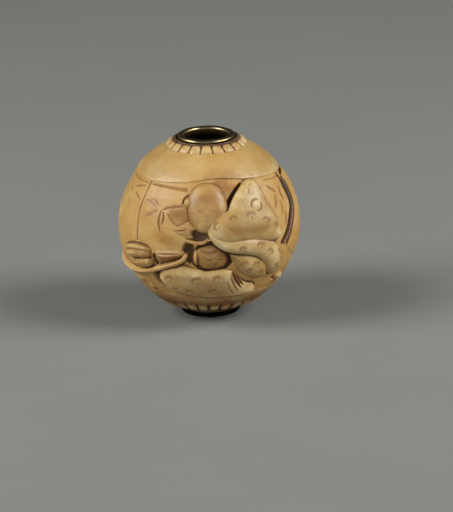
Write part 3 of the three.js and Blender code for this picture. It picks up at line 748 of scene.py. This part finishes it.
class Screen:
    """The folding screen behind the figures, as closed leaves side by side.

    Edges are the azimuths where the leaves meet, and tuck is how far they reach into the foot.
    """

    edges: tuple[float, ...] = (-126, -88, -52, 0, 46, 91, 136, 182, 234)
    pitch: float = 0.062 * MM
    tuck: float = 3.0
    inner_middle: float = 2.0
    uncut: float = 0.1 * MM

    def __init__(self, ball: Ball) -> None:
        """Keeps the ball that the leaves stand round."""
        self.ball = ball

    def ground(self, azimuth: np.ndarray, latitude: np.ndarray) -> np.ndarray:
        """Gives how far from the centre the screen stands, hollows included."""
        depth = np.full(azimuth.shape, self.ball.screen)
        for side in Side:
            middle, turn, lift = side.value
            local = ((azimuth - middle + 180) % 360 - 180) * turn
            for swell in GROUND_SWELLS:
                depth = depth + swell.lift(local, latitude - lift)
            for hollow in HOLLOWS:
                depth = np.minimum(depth, hollow.floor(self.ball, side, azimuth, latitude))
        return depth

    def leaf(self, number: int, start: float, end: float) -> bpy.types.Object:
        """Makes one leaf of the screen between two azimuths and engraves it."""
        ball = self.ball
        step = math.degrees(self.pitch / ball.cap)
        foot, top = ball.screen_foot - self.tuck, ball.screen_top
        columns = np.linspace(start, end, int((end - start) / step))
        rows = np.linspace(foot, top, int((top - foot) / step))
        azimuth, latitude = np.meshgrid(columns, rows)
        outer = ball.place(azimuth, latitude, self.ground(azimuth, latitude))
        inner = [ball.place(columns, np.full(len(columns), height), ball.core)
                 for height in (top, self.inner_middle, foot)]
        loop = np.concatenate((outer, np.stack(inner), outer[:1]))
        ends = [np.broadcast_to(ball.place(side, self.inner_middle, ball.root), (len(loop), 1, 3))
                for side in (start, end)]
        piece = new_piece(f"screen_leaf_{number}", np.concatenate((ends[0], loop, ends[1]), axis=1))
        lines = (*DEEP_CUTS, *LEAVES)
        carve(ball, piece, [(side, line) for side in Side for line in lines], ball.core + self.uncut)
        return piece

    def build(self) -> list[bpy.types.Object]:
        """Makes every leaf of the screen."""
        spans = zip(self.edges, self.edges[1:])
        return [self.leaf(number, start, end) for number, (start, end) in enumerate(spans, 1)]


class TurnedBall:
    """The plain turned ivory: hole, seats, foot band and smooth cap, in one closed skin.

    Lower bed and foot band run between two distances from the axis, in a count of rows. Foot
    edge and cap brim pair latitudes with distances from the centre, the brim's latitudes
    counted from the cap's edge. Petal step and neck pair distances from the axis with heights
    over the centre, and petal bed gives its two distances and its radius.
    """

    around: int = 480
    bevel: float = 0.03 * MM
    lower_bed: tuple[float, float, int] = (2.8, 5.64, 24)
    foot_band: tuple[float, float, int] = (5.7, 6.82, 26)
    foot_edge: Places = ((-39.9, 8.93), (-39.6, 8.91), (-38.8, 8.88))
    buried: tuple[float, ...] = (-38.4, -20, 0, 20)
    cap_brim: Places = ((-0.1, 8.6), (0.0, 8.86), (0.12, 8.93), (0.4, 8.972), (0.8, 8.992), (1.3, 9.0))
    cap_top: float = 4.02 * MM
    petal_step: Places = ((3.98, 8.04), (3.93, 7.92))
    petal_bed: tuple[float, float, float] = (3.9, 3.14, 8.9)
    neck: Places = ((3.12, 8.66), (3.08, 8.74), (3.03, 8.77), (2.99, 8.74), (2.97, 8.66))
    upper_seat: float = 2.93 * MM

    def __init__(self, ball: Ball) -> None:
        """Keeps the ball whose sizes the turning follows."""
        self.ball = ball
        self.azimuth = np.linspace(-180, 180, self.around + 1)

    def ring(self, out: float, up: float) -> np.ndarray:
        """Gives a ring of points at a distance from the axis, at a height from the centre."""
        around = np.radians(self.azimuth)
        height = np.full(len(around), self.ball.centre + up)
        return np.stack((out * np.sin(around), -out * np.cos(around), height), axis=1)

    def band(self, latitude: np.ndarray | float, radius: float) -> np.ndarray:
        """Gives a ring of points at a latitude, at a distance from the centre."""
        return self.ball.place(self.azimuth, np.broadcast_to(latitude, self.azimuth.shape), radius)

    def lower_rows(self) -> list[np.ndarray]:
        """Gives the lower seat, the petals' bed and the foot band."""
        ball = self.ball
        seat = -ball.seat_height
        rows = [self.ring(ball.bore, seat), self.ring(ball.seat - self.bevel, seat),
                self.ring(ball.seat, seat + self.bevel)]
        for (inner, outer, count), radius in ((self.lower_bed, ball.bed), (self.foot_band, ball.foot)):
            reach = np.linspace(inner, outer, count) * MM
            rows += [self.band(-math.degrees(math.acos(out / radius)), radius) for out in reach]
        return rows + [self.band(latitude, radius * MM) for latitude, radius in self.foot_edge]

    def cap_rows(self) -> list[np.ndarray]:
        """Gives the buried neck and the smooth cap from its wandering edge upwards."""
        ball = self.ball
        edge = ball.cap_edge(self.azimuth)
        rows = [self.band(latitude, ball.core) for latitude in self.buried]
        rows.append(self.band(edge - 0.5, ball.core))
        rows += [self.band(edge + lift, radius * MM) for lift, radius in self.cap_brim]
        start = edge + self.cap_brim[-1][0]
        top = math.degrees(math.acos(self.cap_top / ball.cap))
        for share in np.linspace(0.03, 1, 40):
            rows.append(self.band(start + (top - start) * share, ball.cap))
        return rows

    def neck_rows(self) -> list[np.ndarray]:
        """Gives the upper petals' bed and the neck that stands round the upper seat."""
        outer, inner, radius = self.petal_bed
        bed = [(out, math.sqrt(radius ** 2 - out ** 2) + 0.25 * (outer - out))
               for out in np.linspace(outer, inner, 12)]
        return [self.ring(out * MM, up * MM) for out, up in (*self.petal_step, *bed, *self.neck)]

    def hole_rows(self) -> list[np.ndarray]:
        """Gives the upper seat and the hole's wall, down to where the lower rows start."""
        ball = self.ball
        rows = [self.ring(self.upper_seat, ball.seat_height)]
        shares = (1, 0.75, 0.4, 0, -0.4, -0.75, -1)
        return rows + [self.ring(ball.bore, ball.seat_height * share) for share in shares]

    def build(self) -> bpy.types.Object:
        """Makes the turned ball, which stands for the carved solid."""
        rows = self.lower_rows() + self.cap_rows() + self.neck_rows() + self.hole_rows()
        piece = new_piece("turned_ball", np.stack(rows))
        carve(self.ball, piece, [(side, stain_and_shade) for side in Side for stain_and_shade in CAP_SHADES])
        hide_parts("ivory_bead")
        return piece


@dataclass(frozen=True)
class PetalCollar:
    """A collar of petals round an eyelet: one petal is shaped, then copied round.

    Inner and outer are distances from the axis, and bed and crest distances from the centre,
    the crest's at the petals' two ends. Tip says how round the outer ends are: 1 for free
    petals, less for those that run into a band. Narrow and slope say from which share of a
    petal its sides and its top turn round its tip, over what share, and how sharply.
    """

    name: str
    above: bool
    count: int
    inner: float
    outer: float
    bed: float
    crest: tuple[float, float]
    notch: float
    turn: float
    tip: float
    fineness: tuple[int, int] = (30, 27)
    root: float = 0.3
    heel: float = 0.1
    narrow: Ramp = (0.82, 0.2, 2.6)
    slope: Ramp = (0.74, 0.26, 2.2)

    def rounded(self, share: float, start: float, span: float, power: float) -> float:
        """Gives how much of a petal's width or height is left near its rounded tip."""
        return math.sqrt(max(1 - self.tip * max((share - start) / span, 0) ** power, 0))

    def petal_skin(self, ball: Ball) -> np.ndarray:
        """Gives the skin of the petal at azimuth 0: its crown over its buried root."""
        inner, outer, bed, notch = (size * MM for size in (self.inner, self.outer, self.bed, self.notch))
        first, last = (size * MM for size in self.crest)
        rows = []
        along, aside = self.fineness
        across = np.linspace(-1, 1, aside)
        for share in np.linspace(0, 1, along):
            out = inner + (outer - inner) * share
            half = math.pi * out / self.count - notch / 2 * (0.55 + 0.45 * share)
            half *= self.rounded(share, *self.narrow)
            heel = math.sqrt(max(1 - (1 - min(share / self.heel, 1)) ** 2, 0))
            toe = self.rounded(share, *self.slope)
            crown = bed + (first + (last - first) * share - bed) * heel * toe
            rise = bed + (crown - bed) * np.clip(1 - np.abs(across) ** 5, 0, 1) ** 0.5
            x = half * across
            y = -np.sqrt(np.maximum(out ** 2 - x ** 2, 0))
            height = np.sqrt(rise ** 2 - out ** 2)
            rows.append(np.stack((x, y, height), axis=1))
        spin = math.radians(self.turn)
        crown_rows = np.stack(rows) @ np.array(Matrix.Rotation(-spin, 3, "Z"))
        root_rows = crown_rows[::-1].copy()
        root_rows[..., 2] -= self.root * MM
        loop = np.concatenate((crown_rows, root_rows, crown_rows[:1]))
        sides = [np.broadcast_to(loop[:, edge].mean(axis=0), (len(loop), 1, 3)) for edge in (0, -1)]
        skin = np.concatenate((sides[0], loop, sides[1]), axis=1)
        skin[..., 2] *= 1 if self.above else -1
        skin[..., 2] += ball.centre
        return skin

    def build(self, ball: Ball) -> bpy.types.Object:
        """Makes the whole collar from one petal and its copies."""
        first = new_piece(self.name, self.petal_skin(ball), 50)
        copies = []
        for i in range(1, self.count):
            copy = bpy.data.objects.new(f"{self.name}_petal", first.data.copy())
            turn = Matrix.Rotation(2 * math.pi * i / self.count, 4, "Z")
            copy.data.transform(turn)
            bpy.context.collection.objects.link(copy)
            copies.append(copy)
        bpy.ops.object.select_all(action="DESELECT")
        for piece in (*copies, first):
            piece.select_set(True)
        bpy.context.view_layer.objects.active = first
        bpy.ops.object.join()
        mark(first, "ink_and_shade", np.zeros(len(first.data.vertices)))
        return first


COLLARS = (
    PetalCollar("upper_petal_collar", above=True, count=20, inner=3.06, outer=4.05, bed=8.9,
                crest=(9.34, 9.12), notch=0.17, turn=0.0, tip=1.0),
    PetalCollar("lower_petal_collar", above=False, count=28, inner=4.5, outer=5.6, bed=8.7,
                crest=(9.03, 8.98), notch=0.22, turn=4.4, tip=0.7),
)


@dataclass(frozen=True)
class Eyelet:
    """A flanged eyelet: a rolled lip over a thin stem, spun from its section.

    Two pairs of heights over the seat say where the polish and the darkening change. The
    darkening, below the lip's crest and down into the hole, is soiling and painted shade.
    """

    node: str
    above: bool
    flat: float = 0.06 * MM
    throat: float = 0.3 * MM
    dent: float = 0.012 * MM
    polished: tuple[float, float] = (0.2 * MM, 0.44 * MM)
    grimed_and_shaded: tuple[float, float] = (0.16 * MM, 0.34 * MM)

    def section(self, ball: Ball) -> list[tuple[float, float]]:
        """Gives the closed section as distances from the axis and heights over the seat."""
        middle = (ball.hole + ball.lip) / 2
        half, rise = (ball.lip - ball.hole) / 2 - self.flat, ball.lip_height / 2
        foot = ball.lip_height - ball.stem_length
        section = [(ball.hole, foot), (ball.stem_out, foot), (ball.stem_out, 0.0),
                   (middle + 0.1 * MM, 0.0)]
        for angle in range(-80, 181, 10):
            turn = math.radians(angle)
            out = middle + (self.flat if angle < 90 else -self.flat) + half * math.cos(turn)
            section.append((out, rise + rise * math.sin(turn)))
        section.append((ball.hole, -self.throat))
        return section

    def build(self, ball: Ball) -> bpy.types.Object:
        """Spins the section into the eyelet and turns it onto its seat."""
        section = self.section(ball)
        bpy.ops.object.select_all(action="DESELECT")
        bpy.ops.mesh.primitive_circle_add(vertices=len(section), radius=ball.hole)
        piece = bpy.context.object
        piece.name = piece.data.name = f"fine_{self.node}"
        for vertex, (out, up) in zip(piece.data.vertices, section):
            vertex.co = (out, 0, up)
        bpy.ops.object.mode_set(mode="EDIT")
        bpy.ops.mesh.select_all(action="SELECT")
        bpy.ops.mesh.spin(steps=160, angle=2 * math.pi, center=(0, 0, 0), axis=(0, 0, 1))
        bpy.ops.mesh.select_all(action="SELECT")
        bpy.ops.mesh.remove_doubles(threshold=10 * MERGE)
        bpy.ops.mesh.normals_make_consistent(inside=False)
        bpy.ops.object.mode_set(mode="OBJECT")
        bpy.ops.object.shade_smooth_by_angle(angle=math.radians(50))
        points = points_of(piece)
        wear = eased(points[:, 2], *self.polished)
        around = np.arctan2(points[:, 1], points[:, 0])
        dents = np.sin(3 * around + 0.6) + 0.6 * np.sin(7 * around + 2) + 1.6
        points[:, 2] -= self.dent * dents * wear
        # Below the lip's crest and down into the hole the eyelet darkens: soiling and painted shade.
        deep = 1 - eased(points[:, 2], *self.grimed_and_shaded)
        points[:, 2] += ball.centre - ball.lip_height
        if not self.above:
            points[:, 2] *= -1
            piece.data.flip_normals()
        points[:, 2] += ball.centre
        set_points(piece, points)
        mark(piece, "wear", wear * self.above)
        # The lower eyelet is darkened all over with painted shade, as it stands in the ball's shadow.
        mark(piece, "stain_and_shade", deep if self.above else np.ones(len(deep)))
        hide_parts(self.node)
        return piece


class PatinaAndPaintedLight:
    """Where soiling gathers and hands polish, and where painted shade and painted highlight lie,
    read from a height map of the whole ball.

    The sunk ramps darken the recesses, partly with soiling in the cuts and partly with painted
    shade; the proud ramps lighten what stands out, partly with polish and partly with painted
    highlight. Each belongs to a blur of the map in millimetres, and runs over millimetres under
    or over the blurred map. The darkening and lightening ramps run over degrees of latitude,
    counted downwards for the foot and below: the foot band darkens, the underside is painted
    shade, and the neck under the upper lip and its flanks take soiling and painted shade.
    """

    step: float = 0.5
    sunk: dict[float, Ramp] = {
        0.16: (0.01, 0.1, 0.5), 0.42: (0.01, 0.22, 0.65), 1.1: (0.02, 0.5, 0.65)}
    proud: dict[float, Ramp] = {0.42: (0.01, 0.12, 0.8), 1.1: (0.04, 0.34, 0.7)}
    tooth_tops: Ramp = (8.95 * MM, 8.99 * MM, 1.0)
    worn_teeth_under: float = -45.0
    darkened_foot: tuple[Ramp, ...] = ((37.5, 40, 0.2), (42, 48, 0.3))
    painted_shade_below: tuple[Ramp, ...] = ((20, 37, 0.34), (60.3, 62, 1.0))
    neck_dirt_and_shade: Ramp = (67.4, 70.2, 1.1)
    flank_dirt_and_shade: Ramp = (64.5, 69, 0.6)
    worn_petals: Ramp = (62.5, 64.5, 0.5)
    petals_end: Ramp = (67, 68.5, 1.0)

    def __init__(self, ball: Ball, pieces: list[bpy.types.Object]) -> None:
        """Maps the outermost ivory at each azimuth and latitude."""
        self.ball = ball
        self.pieces = pieces
        self.columns, self.rows = int(360 / self.step), int(180 / self.step)
        heights = np.zeros((self.rows, self.columns))
        for piece in pieces:
            azimuth, latitude, radius = ball.read(points_of(piece))
            np.maximum.at(heights, self.cells(azimuth, latitude), radius)
        empty = heights < ball.root
        for _ in range(FILL_ROUNDS):
            around = np.maximum(np.roll(heights, 1, 1), np.roll(heights, -1, 1))
            above = np.maximum(np.roll(heights, 1, 0), np.roll(heights, -1, 0))
            heights = np.where(empty & (heights < ball.root), np.maximum(around, above), heights)
        heights[heights < ball.root] = ball.screen
        self.maps = {blur: self.blurred(heights, blur) for blur in self.sunk}

    def cells(self, azimuth: np.ndarray, latitude: np.ndarray) -> tuple[np.ndarray, np.ndarray]:
        """Gives the map's row and column at azimuths and latitudes."""
        column = ((azimuth + 180) / self.step).astype(int) % self.columns
        row = np.clip(((latitude + 90) / self.step).astype(int), 0, self.rows - 1)
        return row, column

    def blurred(self, heights: np.ndarray, blur: float) -> np.ndarray:
        """Blurs the height map by a width in millimetres."""
        spread = math.degrees(blur * MM / self.ball.cap) / self.step
        reach = int(3 * spread) + 1
        offsets = np.arange(-reach, reach + 1)
        weights = np.exp(-0.5 * (offsets / spread) ** 2)
        weights /= weights.sum()
        around = sum(w * np.roll(heights, o, 1) for o, w in zip(offsets, weights))
        return sum(w * np.roll(around, o, 0) for o, w in zip(offsets, weights))

    def apply(self) -> None:
        """Marks every piece with its soiling and painted shade, and its polish and painted highlight."""
        for piece in self.pieces:
            azimuth, latitude, radius = self.ball.read(points_of(piece))
            cells = self.cells(azimuth, latitude)
            depths = {blur: (heights[cells] - radius) / MM for blur, heights in self.maps.items()}
            # Recesses darken with soiling and painted shade; what stands proud pales with polish and
            # painted highlight.
            stain_and_shade = sum(ramped(depths[blur], ramp) for blur, ramp in self.sunk.items())
            wear = sum(ramped(-depths[blur], ramp) for blur, ramp in self.proud.items())
            tops = ramped(radius, self.tooth_tops)
            # The foot band darkens; the underside is painted shade, darkest under the lower teeth; the
            # neck under the upper lip takes soiling and painted shade, more at the sides, where the
            # petals' shaded gaps show edge-on.
            stain_and_shade += ramped(-latitude, *self.darkened_foot) * (1 - tops)
            stain_and_shade += ramped(-latitude, *self.painted_shade_below) + ramped(latitude, self.neck_dirt_and_shade)
            stain_and_shade += ramped(latitude, self.flank_dirt_and_shade) * np.abs(np.sin(np.radians(azimuth)))
            # The lower teeth's tops and the upper petals pale with rubbing and painted highlight.
            wear += tops * (latitude < self.worn_teeth_under)
            wear += ramped(latitude, self.worn_petals) * (1 - ramped(latitude, self.petals_end))
            mark(piece, "stain_and_shade", np.clip(stain_and_shade, 0, 1))
            mark(piece, "wear", np.clip(wear, 0, 1))


def linear(red: int, green: int, blue: int) -> tuple[float, float, float, float]:
    """Turns a colour as seen on a screen into the shader's linear numbers."""
    parts = []
    for value in (red, green, blue):
        share = value / 255
        parts.append(share / 12.92 if share <= 0.04045 else ((share + 0.055) / 1.055) ** 2.4)
    return (*parts, 1.0)


class NodeSheet:
    """A helper that places and joins shader nodes on one sheet."""

    def __init__(self, tree: bpy.types.NodeTree) -> None:
        """Keeps the node tree that it works on."""
        self.tree = tree

    def add(self, kind: str, inputs: dict | None = None, **settings: object) -> bpy.types.Node:
        """Places a node with its settings, and sets or joins its inputs."""
        node = self.tree.nodes.new(kind)
        for name, value in settings.items():
            setattr(node, name, value)
        for name, value in (inputs or {}).items():
            if isinstance(value, bpy.types.NodeSocket):
                self.tree.links.new(value, node.inputs[name])
            else:
                node.inputs[name].default_value = value
        return node

    def mix(self, share: object, first: object, second: object) -> bpy.types.NodeSocket:
        """Mixes two colours by a share."""
        node = self.add("ShaderNodeMix", {0: share, 6: first, 7: second}, data_type="RGBA")
        return node.outputs[2]

    def read(self, name: str) -> bpy.types.NodeSocket:
        """Reads a value that was marked on the piece."""
        return self.add("ShaderNodeAttribute", attribute_name=name).outputs["Fac"]

    def math(self, operation: str, first: object, second: object) -> bpy.types.NodeSocket:
        """Works out one number from two, kept between 0 and 1."""
        node = self.add("ShaderNodeMath", {0: first, 1: second}, operation=operation, use_clamp=True)
        return node.outputs[0]


class SharedEffects:
    """The node groups that more than one finish uses."""

    def __init__(self) -> None:
        """Builds each group once."""
        self.grain = self.grain_group()
        self.grime = self.grime_group()

    def start(self, name: str, blotch: float, streak: float) -> tuple[
            bpy.types.Material, NodeSheet, bpy.types.Node]:
        """Starts a finish: its material, its sheet of nodes and the shared grain on it."""
        material = bpy.data.materials.new(name)
        material.use_nodes = True
        material.node_tree.nodes.clear()
        sheet = NodeSheet(material.node_tree)
        place = sheet.add("ShaderNodeTexCoord").outputs["Object"]
        grain = sheet.add("ShaderNodeGroup", {
            "Place": place, "Blotch Scale": blotch, "Streak Scale": streak}, node_tree=self.grain)
        return material, sheet, grain

    @staticmethod
    def group(name: str, **sockets: dict[str, tuple[str, ...]]) -> bpy.types.NodeTree:
        """Makes an empty group. Its sockets' names are listed by way and by kind."""
        tree = bpy.data.node_groups.new(name, "ShaderNodeTree")
        for way, kinds in sockets.items():
            for kind, names in kinds.items():
                for socket in names:
                    tree.interface.new_socket(socket, in_out=way, socket_type=f"NodeSocket{kind}")
        return tree

    def grain_group(self) -> bpy.types.NodeTree:
        """Makes the grain: soft blotches, fine upright streaks and pores."""
        tree = self.group(
            "surface_grain",
            INPUT={"Vector": ("Place",), "Float": ("Blotch Scale", "Streak Scale")},
            OUTPUT={"Float": ("Blotch", "Streak", "Pore", "Uneven")})
        sheet = NodeSheet(tree)
        given = sheet.add("NodeGroupInput")
        blotch = sheet.add("ShaderNodeTexNoise", {
            "Vector": given.outputs["Place"], "Scale": given.outputs["Blotch Scale"],
            "Detail": 3.0, "Roughness": 0.6})
        squeeze = sheet.add("ShaderNodeMapping", {
            "Vector": given.outputs["Place"], "Scale": (1.0, 1.0, 0.12)})
        streak = sheet.add("ShaderNodeTexNoise", {
            "Vector": squeeze.outputs[0], "Scale": given.outputs["Streak Scale"],
            "Detail": 2.0, "Roughness": 0.5})
        pore = sheet.add("ShaderNodeTexNoise", {
            "Vector": given.outputs["Place"], "Scale": 9000.0, "Detail": 2.0, "Roughness": 0.7})
        uneven = sheet.add("ShaderNodeTexNoise", {
            "Vector": given.outputs["Place"], "Scale": 1300.0, "Detail": 3.0, "Roughness": 0.55})
        cloud = sheet.math("MULTIPLY", sheet.math("SUBTRACT", blotch.outputs[0], 0.32), 2.7)
        line = sheet.math("MULTIPLY", sheet.math("SUBTRACT", streak.outputs[0], 0.35), 3.0)
        sheet.add("NodeGroupOutput", {
            "Blotch": cloud, "Streak": line, "Pore": pore.outputs[0], "Uneven": uneven.outputs[0]})
        return tree

    def grime_group(self) -> bpy.types.NodeTree:
        """Makes the soiling and painted shade: a colour darkened by a mask, and lightened where rubbing
        or painted highlight lies.
        """
        tree = self.group(
            "grime_and_wear",
            INPUT={"Color": ("Clean", "Grime", "Worn"), "Float": ("Dirt And Shade", "Wear", "Blotch")},
            OUTPUT={"Color": ("Colour",), "Float": ("Roughness",)})
        sheet = NodeSheet(tree)
        given = sheet.add("NodeGroupInput")
        spread = sheet.math("ADD", sheet.math("MULTIPLY", given.outputs["Blotch"], 0.7), 0.4)
        dirt_and_shade = sheet.math("MULTIPLY", given.outputs["Dirt And Shade"], spread)
        worn = sheet.math("MULTIPLY", given.outputs["Wear"], sheet.math("SUBTRACT", 1.1, spread))
        lit = sheet.mix(worn, given.outputs["Clean"], given.outputs["Worn"])
        colour = sheet.mix(dirt_and_shade, lit, given.outputs["Grime"])
        rough = sheet.math("ADD", sheet.math("MULTIPLY", dirt_and_shade, 0.35), 0.3)
        rough = sheet.math("SUBTRACT", rough, sheet.math("MULTIPLY", worn, 0.08))
        sheet.add("NodeGroupOutput", {"Colour": colour, "Roughness": rough})
        return tree


@dataclass(frozen=True)
class IvoryFinish:
    """Old ivory: pale where hands polish it and where highlight is painted, golden on the ground, brown
    in the cuts, and darkened by painted shade in the hollows and underneath.
    """

    name: str
    base: Colour
    golden: Colour
    worn: Colour
    matt: float
    # Brown colours the inked lines, the soiling and the painted shade; dark is the painted shade in the
    # deepest hollows and underneath, and the darkest inking.
    brown: Colour = (124, 74, 24)
    dark: Colour = (38, 21, 6)

    def build(self, effects: SharedEffects) -> bpy.types.Material:
        """Makes the ivory's material."""
        material, sheet, grain = effects.start(self.name, blotch=420.0, streak=2600.0)
        stain_and_shade, wear, ink_and_shade = (sheet.read(name) for name in ("stain_and_shade", "wear", "ink_and_shade"))
        ground = sheet.mix(grain.outputs["Blotch"], linear(*self.base), linear(*self.golden))
        streak = sheet.math("MULTIPLY", grain.outputs["Streak"], 0.3)
        ground = sheet.mix(streak, ground, linear(*self.golden))
        grime = sheet.add("ShaderNodeGroup", {
            "Clean": ground, "Dirt And Shade": stain_and_shade, "Wear": wear, "Blotch": grain.outputs["Blotch"],
            "Grime": linear(*self.brown), "Worn": linear(*self.worn)}, node_tree=effects.grime)
        colour = sheet.mix(ink_and_shade, grime.outputs["Colour"], linear(*self.brown))
        # Painted shade: where the darkening mask is strongest, in the deepest hollows and underneath,
        # the colour goes to dark; the slit term darkens the densest inking, which is inked line in the
        # engravings and painted shade in the crevices.
        deep = sheet.math("MULTIPLY", sheet.math("SUBTRACT", stain_and_shade, 0.72), 2.6)
        slit = sheet.math("MULTIPLY", sheet.math("SUBTRACT", ink_and_shade, 0.7), 3.0)
        colour = sheet.mix(sheet.math("MAXIMUM", deep, slit), colour, linear(*self.dark))
        uneven = sheet.add("ShaderNodeBump", {
            "Height": grain.outputs["Uneven"], "Strength": 0.7, "Distance": 0.12 * MM})
        pores = sheet.add("ShaderNodeBump", {
            "Height": grain.outputs["Pore"], "Strength": 0.2, "Distance": 0.02 * MM,
            "Normal": uneven.outputs[0]})
        body = sheet.add("ShaderNodeBsdfPrincipled", {
            "Base Color": colour, "Roughness": sheet.math("ADD", grime.outputs["Roughness"], self.matt),
            "Normal": pores.outputs[0], "Subsurface Weight": 0.12, "Subsurface Scale": 0.6 * MM,
            "Subsurface Radius": (1.0, 0.6, 0.3), "IOR": 1.5})
        sheet.add("ShaderNodeOutputMaterial", {"Surface": body.outputs[0]})
        return material


@dataclass(frozen=True)
class GiltFinish:
    """Aged gilt brass: bright on the lip, browned below it with tarnish and painted shade, and darkened
    by painted shade in the hole and all over the lower eyelet.
    """

    name: str = "aged_gilt_brass"
    bright: Colour = (236, 218, 176)
    dull: Colour = (132, 110, 66)
    brown: Colour = (52, 40, 22)
    shade_black: Colour = (14, 10, 6)

    def build(self, effects: SharedEffects) -> bpy.types.Material:
        """Makes the eyelets' material."""
        material, sheet, grain = effects.start(self.name, blotch=900.0, streak=3200.0)
        wear = sheet.read("wear")
        grime = sheet.add("ShaderNodeGroup", {
            "Dirt And Shade": sheet.math("SUBTRACT", 0.9, wear), "Wear": wear, "Blotch": grain.outputs["Blotch"],
            "Clean": linear(*self.dull), "Grime": linear(*self.brown),
            "Worn": linear(*self.bright)}, node_tree=effects.grime)
        # Painted shade: the mark set by the eyelets darkens the hole and the whole lower eyelet.
        colour = sheet.mix(sheet.read("stain_and_shade"), grime.outputs["Colour"], linear(*self.shade_black))
        bump = sheet.add("ShaderNodeBump", {
            "Height": grain.outputs["Blotch"], "Strength": 0.12, "Distance": 0.03 * MM})
        body = sheet.add("ShaderNodeBsdfPrincipled", {
            "Base Color": colour, "Metallic": 1.0, "Normal": bump.outputs[0],
            "Roughness": sheet.math("MULTIPLY", grime.outputs["Roughness"], 1.15)})
        sheet.add("ShaderNodeOutputMaterial", {"Surface": body.outputs[0]})
        return material


SCREEN_IVORY = IvoryFinish("golden_ivory", (190, 156, 94), (176, 130, 60), (214, 184, 124), 0.2)
CAP_IVORY = IvoryFinish("cap_ivory", (188, 158, 104), (174, 136, 74), (214, 190, 138), 0.1)
CLOTH_IVORY = IvoryFinish("handled_ivory", (186, 157, 102), (164, 128, 68), (222, 200, 150), 0.12)
HEAD_IVORY = IvoryFinish("tan_ivory", (174, 138, 80), (146, 104, 48), (208, 174, 114), 0.16)


class Studio:
    """The pale table, the soft lights and the camera.

    Aim pixels say how far the picture's middle lies to the right of and below the bead's.
    """

    elevation: float = 17.0
    roll: float = 1.5
    distance: float = 0.8
    pixels_per_mm: float = 10.12
    frame_height: int = 512
    aim_pixels: tuple[float, float] = (17.1, 35.2)

    def __init__(self, ball: Ball) -> None:
        """Keeps the ball that the camera looks at."""
        self.ball = ball

    def table(self) -> None:
        """Makes the table top."""
        bpy.ops.object.select_all(action="DESELECT")
        bpy.ops.mesh.primitive_plane_add(size=3.0)
        top = bpy.context.object
        top.name = "table_top"
        material = bpy.data.materials.new("pale_table")
        material.use_nodes = True
        sheet = NodeSheet(material.node_tree)
        place = sheet.add("ShaderNodeTexCoord").outputs["Object"]
        cloud = sheet.add("ShaderNodeTexNoise", {"Vector": place, "Scale": 60.0, "Detail": 3.0})
        colour = sheet.mix(cloud.outputs[0], linear(120, 121, 116), linear(124, 125, 120))
        body = material.node_tree.nodes["Principled BSDF"]
        sheet.tree.links.new(colour, body.inputs["Base Color"])
        body.inputs["Roughness"].default_value = 0.75
        top.data.materials.append(material)

    def lamp(self, name: str, place: tuple[float, float, float], size: float, watts: float) -> None:
        """Hangs a soft square lamp that faces the bead."""
        data = bpy.data.lights.new(name, "AREA")
        data.shape = "SQUARE"
        data.size = size
        data.spread = math.radians(80)
        data.energy = watts
        lamp = bpy.data.objects.new(name, data)
        lamp.location = place
        aim = Vector((0, 0, self.ball.centre)) - Vector(place)
        lamp.rotation_euler = aim.to_track_quat("-Z", "Y").to_euler()
        bpy.context.collection.objects.link(lamp)

    def light(self) -> None:
        """Sets the two side lamps, the weak front one and the room's light."""
        self.lamp("left_lamp", (-0.37, -0.1, 0.28), 0.26, 0.53)
        self.lamp("right_lamp", (0.37, -0.1, 0.28), 0.26, 0.54)
        self.lamp("front_lamp", (0.0, -0.58, 0.08), 0.3, 0.22)
        world = bpy.data.worlds.new("room")
        world.use_nodes = True
        world.node_tree.nodes["Background"].inputs[0].default_value = (0.9, 0.95, 1.0, 1)
        world.node_tree.nodes["Background"].inputs[1].default_value = 0.02
        bpy.context.scene.world = world

    def camera(self) -> None:
        """Places the camera at the photograph's angle, distance and framing."""
        up = math.radians(self.elevation)
        right = Vector((1, 0, 0))
        rise = Vector((0, math.sin(up), math.cos(up)))
        back = Vector((0, -math.cos(up), math.sin(up)))
        data = bpy.data.cameras.new("camera")
        data.sensor_fit = "VERTICAL"
        data.sensor_height = 36.0
        view_height = self.frame_height / self.pixels_per_mm * MM
        data.lens = data.sensor_height * self.distance / view_height
        data.clip_start = 0.01
        camera = bpy.data.objects.new("camera", data)
        across, down = (pixels / self.pixels_per_mm * MM for pixels in self.aim_pixels)
        middle = Vector((0, 0, self.ball.centre))
        camera.location = middle + back * self.distance + right * across - rise * down
        turn = math.radians(-self.roll)
        tilted = Matrix((right, rise, back)).transposed() @ Matrix.Rotation(turn, 3, "Z")
        camera.rotation_euler = tilted.to_euler()
        bpy.context.collection.objects.link(camera)
        bpy.context.scene.camera = camera
        bpy.context.scene.view_settings.view_transform = "Standard"


def dress(piece: bpy.types.Object, material: bpy.types.Material) -> None:
    """Gives a piece its finish and the body that it rides on."""
    piece.data.materials.clear()
    piece.data.materials.append(material)
    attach(piece, "root")
    LOG.info("%s: %d faces", piece.name, len(piece.data.polygons))


def main() -> None:
    """Builds the bead, its finishes and the studio, in that order."""
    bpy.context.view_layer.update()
    ball = Ball()
    effects = SharedEffects()
    turned = TurnedBall(ball).build()
    leaves = [*Screen(ball).build(), SIDE_SCREEN.build(ball, Side.FRONT)]
    collars = [collar.build(ball) for collar in COLLARS]
    tan, cloth = [], []
    for side in Side:
        tan += [form.build(ball, side) for form in (*HEADS, *TAN_FORMS)]
        cloth += [form.build(ball, side) for form in CLOTH]
    PatinaAndPaintedLight(ball, [turned, *leaves, *collars, *tan, *cloth]).apply()
    for pieces, finish in (((turned, *collars), CAP_IVORY), (leaves, SCREEN_IVORY),
                           (tan, HEAD_IVORY), (cloth, CLOTH_IVORY)):
        material = finish.build(effects)
        for piece in pieces:
            dress(piece, material)
    gilt = GiltFinish().build(effects)
    for node, above in (("upper_eyelet", True), ("lower_eyelet", False)):
        dress(Eyelet(node, above).build(ball), gilt)

    studio = Studio(ball)
    studio.table()
    studio.light()
    studio.camera()


if __name__ == "__main__":
    main()
